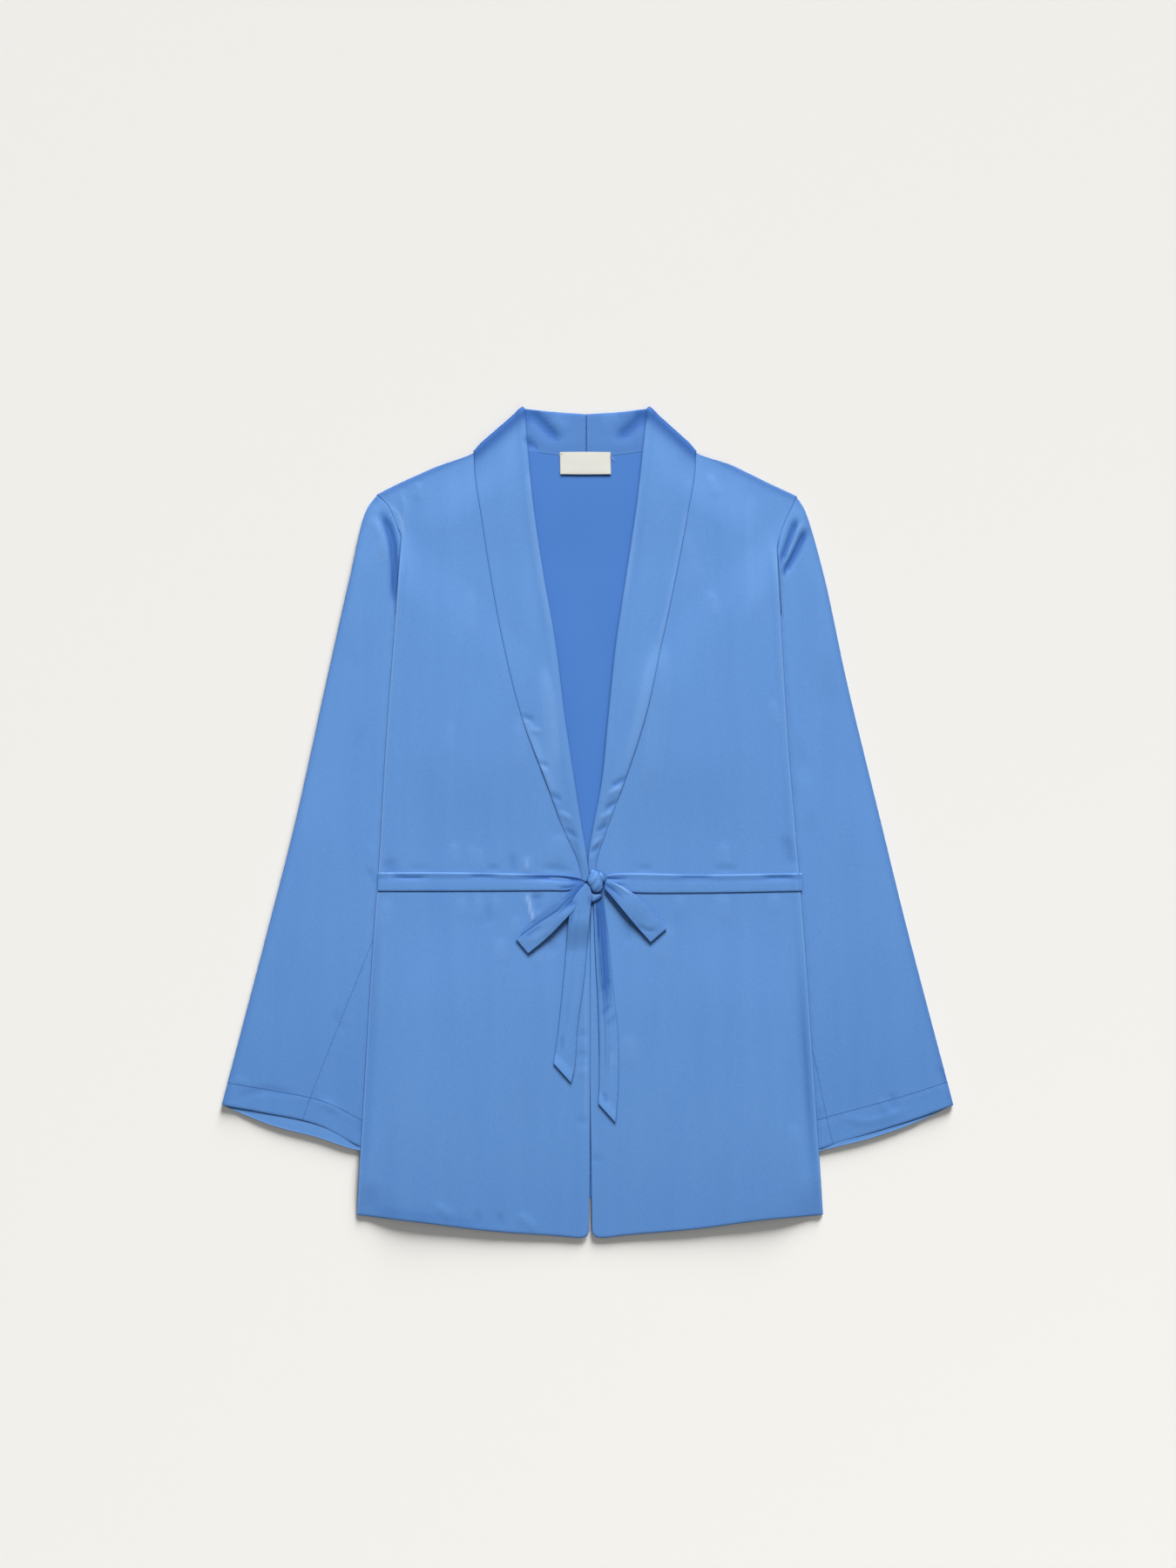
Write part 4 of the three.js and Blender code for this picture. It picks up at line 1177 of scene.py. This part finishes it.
def makeThread(k, row):
    # a short stitch as a bent thread, swept as a tube
    start, end = (np.array(row[key], float) for key in ("from", "to"))
    bm = bmesh.new()
    radius = label["thread"]
    bmesh.ops.create_cone(bm, cap_ends=True, segments=8, radius1=radius, radius2=radius, depth=1.0)
    bmesh.ops.subdivide_edges(bm, edges=[e for e in bm.edges if abs(e.verts[0].co.z - e.verts[1].co.z) > 0.5],
                              cuts=8)
    across = np.array([-(end - start)[1], (end - start)[0]]) / math.dist(start, end)
    for vert in bm.verts:
        share = vert.co.z + 0.5
        x, y = lerp(start, end, share) + across * vert.co.x
        z = labelHeight(y) + label["thick"] / 2 + row["rise"] * math.sin(math.pi * share) + vert.co.y
        vert.co = (x * mm, y * mm, z * mm)
    bmesh.ops.recalc_face_normals(bm, faces=bm.faces)
    mesh = bpy.data.meshes.new(f"label_stitch_{k + 1}")
    bm.to_mesh(mesh)
    bm.free()
    mesh.shade_smooth()
    mesh.materials.append(labelCloth)
    thread = bpy.data.objects.new(f"label_stitch_{k + 1}", mesh)
    groups["jacket"].objects.link(thread)
    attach(thread, "root")
    return thread


makeLabel()
print("label made")

# Belt and bow. Each band has a row of points along each of its two edges, a and b.
bandWidth = 18.7
belt = {
    "thick": 0.8,
    "wall": 1.6,  # of the part's solid
    "rest": 1.3,
    "reach": 210,  # the belt lies between -reach and reach along X
    "foldShare": 0.7,
    # painted shade in the trough and near the knot, and a painted highlight along the upper edge
    "shade": {"trough": 0.2, "edge": 0.12, "paintedKnotShade": {"left": 0.45, "right": 0.2}},
    "left": {
        "a": [(-204.5, -49), (-130, -49), (-39, -51), (-19, -51.8), (-9, -53.7), (-2, -57)],
        "b": [(-204.3, -67.6), (-130, -67.5), (-39, -67), (-18, -66.7), (-8.5, -63), (-2.3, -60.5)],
    },
    "right": {
        "a": [(209, -49.7), (107, -51), (46, -49.7), (26, -50.2), (19, -52)],
        "b": [(209, -67.6), (107, -69.3), (46, -69), (25, -66.4), (18.3, -63.4)],
    },
    # across the belt: a ridge by its upper edge, and the trough below it
    "section": [(0, -0.5), (0.05, 0.05), (0.1, 0.1), (0.36, 0), (0.6, 0), (0.85, 0), (0.95, -0.1), (1, -0.7)],
    # how deep the trough is along it, and the folds by the knot
    "trough": [(-204, 0.9), (-190, 1.5), (-165, 0.7), (-131, 1.2), (-105, 0.8), (-80, 1.4), (-15, 1.7),
               (22, 0.5), (60, 0.7), (102, 1.2), (150, 0.8), (186, 1.4), (209, 1.0)],
    "folds": [
        (3.0, -2.0, [(-74, -53), (-40, -53.8), (-22, -55.4), (-6, -58.4), (14, -61)], 0.5),
        (2.2, -0.8, [(-120, -53), (-100, -52.6), (-84, -53)]),
        (2.2, -0.8, [(-196, -53), (-170, -54), (-150, -53)]),
        (1.6, -0.7, [(-30, -64), (-18, -64), (-9, -61)]),
        (1.9, -0.9, [(0, -54), (17, -55), (30, -55.5), (46, -53.5)], 0.5),
        (1.8, -0.8, [(4, -60), (17, -61), (26, -61.5), (40, -62)], 0.5),
        (2.2, -0.7, [(84, -54), (104, -53.6), (126, -54)]),
        (2.2, -0.9, [(166, -54), (186, -53.6), (206, -54)]),
    ],
}


def paintedKnotShade(x, y):
    # how close the cloth is to the knot, for the shade painted around it
    return 1 - smoothstep(np.hypot(x - 6, y + 60), 14, 38)


def bandPlace(band):
    a, b = through(band["a"]), through(band["b"])
    return lambda across, along: lerp(a(along), b(along), across[:, None])


def sectionHeight(rows, share):
    knots, heights = zip(*rows)
    fine = np.linspace(0, 1, 121)
    rough = np.interp(fine, knots, heights)
    soft = np.convolve(np.pad(rough, 4, mode="edge"), np.ones(9) / 9, "valid")
    return np.interp(share, fine, soft)


# how far from the band's nearer edge; read as a seam, it darkens the edge with painted shade
def borderDistance(across):
    return np.minimum(across, 1 - across) * bandWidth


def troughDepth(x):
    reach = belt["reach"]
    rows = [((at + reach) / (2 * reach), depth) for at, depth in belt["trough"]]
    return sectionHeight(rows, (x + reach) / (2 * reach))


def makeBelt(side):
    size = {"width": bandWidth * mm, "length": 0.205}
    spread = bandPlace(belt[side])

    def place(across, along):
        flat = spread(across, along)
        x, y = flat.T
        dip = 0.1 * bell((across - 0.09) / 0.07) - 0.25 * bell((across - 0.3) / 0.16)
        height = frontHeight(x, y) + belt["rest"] + sectionHeight(belt["section"], across)
        height = height + troughDepth(x) * dip
        return withHeight(flat, height + creased(x, y, belt["folds"]) * belt["foldShare"])

    def marks(across, along, points):
        x, y, _ = points.T
        # painted shade and highlight in the folds, painted shade in the trough and near the knot, a painted
        # highlight along the upper edge, and painted shade along both edges as seams
        shade = belt["shade"]
        folds = paintedFoldLight(x, y, belt["folds"], 1.3, 0.1)
        folds = folds - shade["trough"] * troughDepth(x) * bell((across - 0.3) / 0.16)
        folds = folds - shade["paintedKnotShade"][side] * paintedKnotShade(x, y)
        return {"seam": borderDistance(across), "fold": folds + shade["edge"] * bell((across - 0.04) / 0.04)}

    piece = clothPiece(f"belt_{side}_band", lines(bandWidth, 0.8), lines(205, 2), place,
                       (size["width"], size["length"]), belt["thick"], marks, flip=side == "right",
                       finishes=(satin, satin))
    settle(piece, f"belt_{side}")


loop = {
    "turn": 1.1,
    "puff": 2.2,
    "leavesBelt": 0.35,
    "landed": 0.8,
    "reach": 0.98,
    "thick": 0.7,
    "paintedKnotShade": {"left": 0.8, "right": 0.4},
}
loopLayers = {
    "left": {
        "upper": {
            "a": [(-4.7, -60.8), (-11.5, -71.2), (-19.3, -76.5), (-29.7, -86.9), (-45.5, -97.3),
                  (-70, -114.8)],
            "b": [(0.6, -65.6), (-3.8, -76), (-10.6, -83.7), (-17.9, -90.8), (-38.8, -112.3),
                  (-58.3, -128.5)],
        },
        "lower": {
            "a": [(-4.3, -58.2), (-14, -64.8), (-27, -73.9), (-45.3, -88.8), (-58.2, -99.9), (-70, -114.8)],
            "b": [(0.6, -64.6), (-4, -76), (-13, -87), (-32, -101.5), (-46, -113), (-58.3, -128.5)],
        },
        "tilt": 2.2,
        "gap": "a",  # the upper layer's edge along which the loop stands open
        "folds": [
            (1.3, -1.9, [(14, -50), (-4, -62.5), (-17, -69.5), (-30, -81), (-47, -96), (-60, -107)], 0.3),
            (3.2, -1.3, [(8, -58), (-10, -73), (-22, -84), (-38, -98)], 0.5),
            (2.6, 0.2, [(-30, -98), (-44, -109), (-58, -120)]),
            (2.4, -0.5, [(-44, -100), (-62, -115)]),
        ],
    },
    "right": {
        "upper": {
            "a": [(16.8, -57.6), (25, -58.9), (44.5, -69.3), (56.2, -80.3), (65.3, -90.5), (76.8, -104.5)],
            "b": [(16.8, -65.6), (21, -70), (30, -80.6), (41, -94), (50, -104.5), (61.6, -117.5)],
        },
        "lower": {
            "a": [(16.8, -58.5), (24, -61), (42.5, -71.5), (54.5, -82), (64.5, -92), (76.8, -104.5)],
            "b": [(16.2, -67), (19.5, -71.5), (27.6, -81.6), (38.8, -95.6), (48.8, -105.6), (61.6, -117.5)],
        },
        "tilt": 0,
        "gap": "b",
        "folds": [
            (2.6, -1.3, [(2, -52), (14, -67), (27, -84), (40, -99), (50, -109)], 0.45),
            (1.8, 0.8, [(18, -57), (30, -62), (44, -72)], 0.4),
            (2.2, -0.8, [(2, -52), (17, -61), (28, -69), (38, -78)], 0.5),
            (2.4, -0.5, [(46, -100), (62, -106), (68, -102)]),
        ],
    },
}


def makeLoop(side):
    size = {"width": bandWidth * mm, "length": 0.19}
    upper, lower = (bandPlace(loopLayers[side][layer]) for layer in ("upper", "lower"))
    onFront = pile["layerGap"] + pile["wall"]
    onBelt = onFront + belt["wall"] + pile["layerGap"]
    turnFrom, turnTo = 0.485, 0.515
    reach = loop["reach"]

    def place(across, w):
        along = np.where(w < 0.5, np.clip(w / turnFrom, 0, 1), np.clip((1 - w) / (1 - turnTo), 0, 1))
        along = along * reach
        turn = math.pi * (np.clip((w - turnFrom) / (turnTo - turnFrom), 0, 1) - 0.5)
        top, under = upper(across, along), lower(across, along)
        under = lerp(under, top, smoothstep(along, 0.85, reach)[:, None])
        flat = np.where((w < 0.5)[:, None], under, top)
        out = upper(across, np.ones(len(w))) - upper(across, np.full(len(w), reach))
        out = out / np.linalg.norm(out, axis=1)[:, None]
        turning = (w > turnFrom) & (w < turnTo)
        flat = flat + out * np.where(turning, loop["turn"] * np.cos(turn), 0)[:, None]
        lift = lerp(onBelt, onFront, smoothstep(along, loop["leavesBelt"], loop["landed"]))
        gap = np.where(turning, loop["turn"] * (1 + np.sin(turn)), np.where(w < 0.5, 0, 2 * loop["turn"]))
        gap = gap + np.where(w > 0.5, loop["puff"] * np.sin(math.pi * along), 0)
        crown = 0.5 * np.sin(math.pi * across) * (1 - smoothstep(along, 0.8, 1))
        tilted = np.where(w < 0.5, loopLayers[side]["tilt"] * (0.6 - across) * np.sin(math.pi * along), 0)
        folds = np.where(w > 0.5, creased(*flat.T, loopLayers[side]["folds"]), 0)
        return withHeight(flat, frontBed(*flat.T) + lift + gap + crown + tilted + folds)

    def marks(across, w, points):
        x, y, _ = points.T
        fromGap, _ = toLine(x, y, loopLayers[side]["upper"][loopLayers[side]["gap"]])
        # painted shade all over the under layer and darkest by the upper layer's open edge, with painted
        # shade and highlight in the folds and near the knot
        inside = -0.25 - 0.75 * bell(fromGap / 1.5)
        shade = np.where(w < 0.5, inside, paintedFoldLight(x, y, loopLayers[side]["folds"], 1.6))
        return {"seam": borderDistance(across), "fold": shade - loop["paintedKnotShade"][side] * paintedKnotShade(x, y)}

    rows = np.concatenate([
        evenly(60, 0, turnFrom)[:-1],
        evenly(12, turnFrom, turnTo)[:-1],
        evenly(60, turnTo, 1),
    ])
    piece = clothPiece(f"loop_{side}_band", lines(bandWidth, 0.8), rows, place,
                       (size["width"], size["length"]), loop["thick"], marks, flip=side == "right",
                       finishes=(satin, satin))
    settle(piece, f"loop_{side}")


tail = {
    "thick": 0.6,
    "overLoop": {"left": 7.6, "right": 1.4},
    "loopY": -93,
    "landedY": -128,
    "left": {
        "a": [(-1.6, -59.6), (-7.6, -65.9), (-14.5, -76.1), (-17.9, -92.2), (-20, -111.8), (-23.2, -150),
              (-28.5, -201), (-32.2, -228), (-33.3, -235)],
        "b": [(2, -63.2), (4, -70), (3.3, -77.8), (2.1, -92.2), (0.4, -111.8), (-3, -150), (-9.8, -201),
              (-12.3, -238), (-16, -254)],
    },
    "right": {
        "a": [(5.5, -71), (5.9, -86.3), (6.7, -107.5), (7.9, -138), (9.9, -173.8), (11, -208.7), (11.3, -255),
              (10.4, -274)],
        "b": [(14.9, -70.4), (17.1, -86.3), (20, -107.5), (22.8, -138), (26.3, -173.8), (29.8, -208.7),
              (29.8, -262), (27.2, -292.8)],
    },
    "pleats": {  # share across, width as a share, height, and the Y where it starts and ends
        "left": [(0.5, 0.1, -0.5, -75, -225), (0.22, 0.12, 0.3, -90, -200), (0.78, 0.14, 0.3, -110, -240)],
        "right": [
            (0.06, 0.035, 1.2, -60, -240),
            (0.17, 0.04, 1.4, -60, -170),
            (0.27, 0.04, 1.2, -60, -150),
            (0.42, 0.09, 1.0, -70, -250),
            (0.7, 0.16, -0.6, -70, -200),
            (0.6, 0.12, -0.5, -215, -262),
        ],
    },
    # lines along the pleats' edges, grooves darkened with painted shade
    "lines": {"left": [], "right": [(0.115, -66, -175), (0.225, -66, -160), (0.31, -66, -150)]},
    "folds": {
        "left": [
            (2.2, -0.8, [(-10, -72), (-14.5, -86), (-17, -104)]),
            (2, -0.4, [(-24, -205), (-25, -225)]),
            (1.6, -0.6, [(2, -70), (1, -84)]),
        ],
        "right": [
            (4.6, -1.5, [(10, -50), (14.6, -95), (16, -124), (18, -157), (19.5, -200)], 0.35),
            (1.2, -1.0, [(9, -71), (10, -90), (10.8, -124)]),
            (2.4, -0.45, [(11, -166), (16, -160), (24, -153)]),
            (2.2, -0.45, [(11, -190), (17, -184), (25, -176)]),
            (3, -0.45, [(17, -200), (23, -194), (30, -187)]),
            (2.4, -0.5, [(15, -262), (19, -276)]),
            (3, 0.2, [(22, -222), (26, -240)]),
        ],
    },
    "tipRise": 1.3,
    "foldShare": 0.35,
    "paintedKnotShade": {"left": 0.1, "right": 0.4},
}


def makeTail(side):
    size = {"width": bandWidth * mm, "length": {"left": 0.195, "right": 0.222}[side]}
    spread = bandPlace(tail[side])

    def place(across, along):
        flat = spread(across, along)
        x, y = flat.T
        rest = pile["layerGap"] + pile["wall"]
        lift = lerp(rest, tail["overLoop"][side], smoothstep(y, tail["landedY"], tail["loopY"]))
        height = frontBed(x, y) + lift + 0.4 * np.sin(math.pi * across)
        height = height + rounded(across * bandWidth, 1, 0.3)
        for share, width, rise, top, foot in tail["pleats"][side]:
            ends = smoothstep(-y, -top, 20 - top) * (1 - smoothstep(-y, -foot - 30, -foot))
            height = height + rise * ends * bell((across - share) / width)
        height = height + tail["tipRise"] * smoothstep(along, 0.93, 1)
        return withHeight(flat, height + tail["foldShare"] * creased(x, y, tail["folds"][side]))

    def marks(across, along, points):
        x, y, _ = points.T
        # dark lines of painted shade along the edges and pleats, and painted shade in the folds and near the
        # knot
        seam = borderDistance(across)
        for share, top, foot in tail["lines"][side]:
            seam = np.minimum(seam, np.where((y < top) & (y > foot), abs(across - share) * bandWidth, far))
        folds = paintedFoldLight(x, y, tail["folds"][side]) - tail["paintedKnotShade"][side] * paintedKnotShade(x, y)
        return {"seam": seam, "fold": folds}

    piece = clothPiece(f"tail_{side}_band", lines(bandWidth, 0.55), lines(size["length"] / mm, 1.5), place,
                       (size["width"], size["length"]), tail["thick"], marks, finishes=(satin, satin))
    settle(piece, f"tail_{side}")


knot = {"thick": 0.6, "floor": 1.0}
knotLobes = [  # the cloth's turns that show: each one's outline, how high it stands and its crown
    {
        "name": "knot_back_turn",
        "outline": [(3, -46.5), (10, -47.5), (16.5, -51), (17.5, -56), (13, -60), (6, -60), (2, -53)],
        "crown": (9, -53),
        "foot": 2.0,
        "rise": 4.6,
        "cut": (0.018, 0.018),
        "area": 0.0003,
    },
    {
        "name": "knot_front_turn",
        "outline": [(-0.6, -56.5), (1.6, -51.5), (5, -48.4), (9, -47), (12.2, -50.5), (13.8, -56),
                    (14.9, -61.6), (13.6, -66.4), (10.2, -68.8), (6, -68.4), (2.6, -63.5)],
        "crown": (7.6, -57.5),
        "foot": 3.2,
        "rise": 5.8,
        "cut": (0.022, 0.026),
        "area": 0.00048,
    },
    {
        "name": "knot_lower_turn",
        "outline": [(0, -66.5), (5, -69.5), (11, -69.5), (14, -71.5), (10, -76), (4, -78), (0.5, -73)],
        "crown": (6, -72.5),
        "foot": 1.2,
        "rise": 3.2,
        "cut": (0.016, 0.014),
        "area": 0.00019,
    },
]


def closedLine(points):
    ring = through([*points[-3:], *points, *points[:3]], 16)
    return ring(np.linspace(0, 1, 600))


def makeKnot():
    floorAt = frontBed(np.array([6.0]), np.array([-58.0]))[0] + pile["layerGap"] + knot["floor"]
    made = []
    for lobe in knotLobes:
        ring = closedLine(lobe["outline"]) - lobe["crown"]
        turns = np.arctan2(ring[:, 1], ring[:, 0])
        order = np.argsort(turns)
        reach = np.linalg.norm(ring, axis=1)

        def place(u, v):
            across, down = 2 * u - 1, 2 * v - 1
            share = np.maximum(abs(across), abs(down))
            turn = np.arctan2(-down, across)
            radius = np.interp(turn, turns[order], reach[order], period=2 * math.pi)
            away = np.sin(share * math.pi / 2) * radius
            flat = np.column_stack([away * np.cos(turn), away * np.sin(turn)]) + lobe["crown"]
            dome = np.cos(share * math.pi / 2) ** 0.6
            wrinkle = 0.18 * np.sin(flat[:, 0] * 0.9 - flat[:, 1] * 0.5) * dome
            return withHeight(flat, floorAt + lobe["foot"] + lobe["rise"] * dome + wrinkle)

        def marks(u, v, points):
            # painted shade towards the rim of each turn, and in stripes where the cloth is wound
            share = np.maximum(abs(2 * u - 1), abs(2 * v - 1))
            wound = np.sin(points[:, 0] * 0.55 - points[:, 1] * 0.8 + lobe["crown"][0])
            return {"fold": -smoothstep(share, 0.62, 0.97) - 0.4 * smoothstep(wound, 0.4, 1)}

        made.append(clothPiece(lobe["name"], evenly(40), evenly(40), place, lobe["cut"], knot["thick"], marks,
                               finishes=(satin, satin)))
    for lobe, piece in zip(knotLobes, made):
        settle(piece, "knot" if piece is made[1] else None)


for side in signs:
    makeBelt(side)
    makeLoop(side)
    makeTail(side)
makeKnot()
print("belt and bow made")
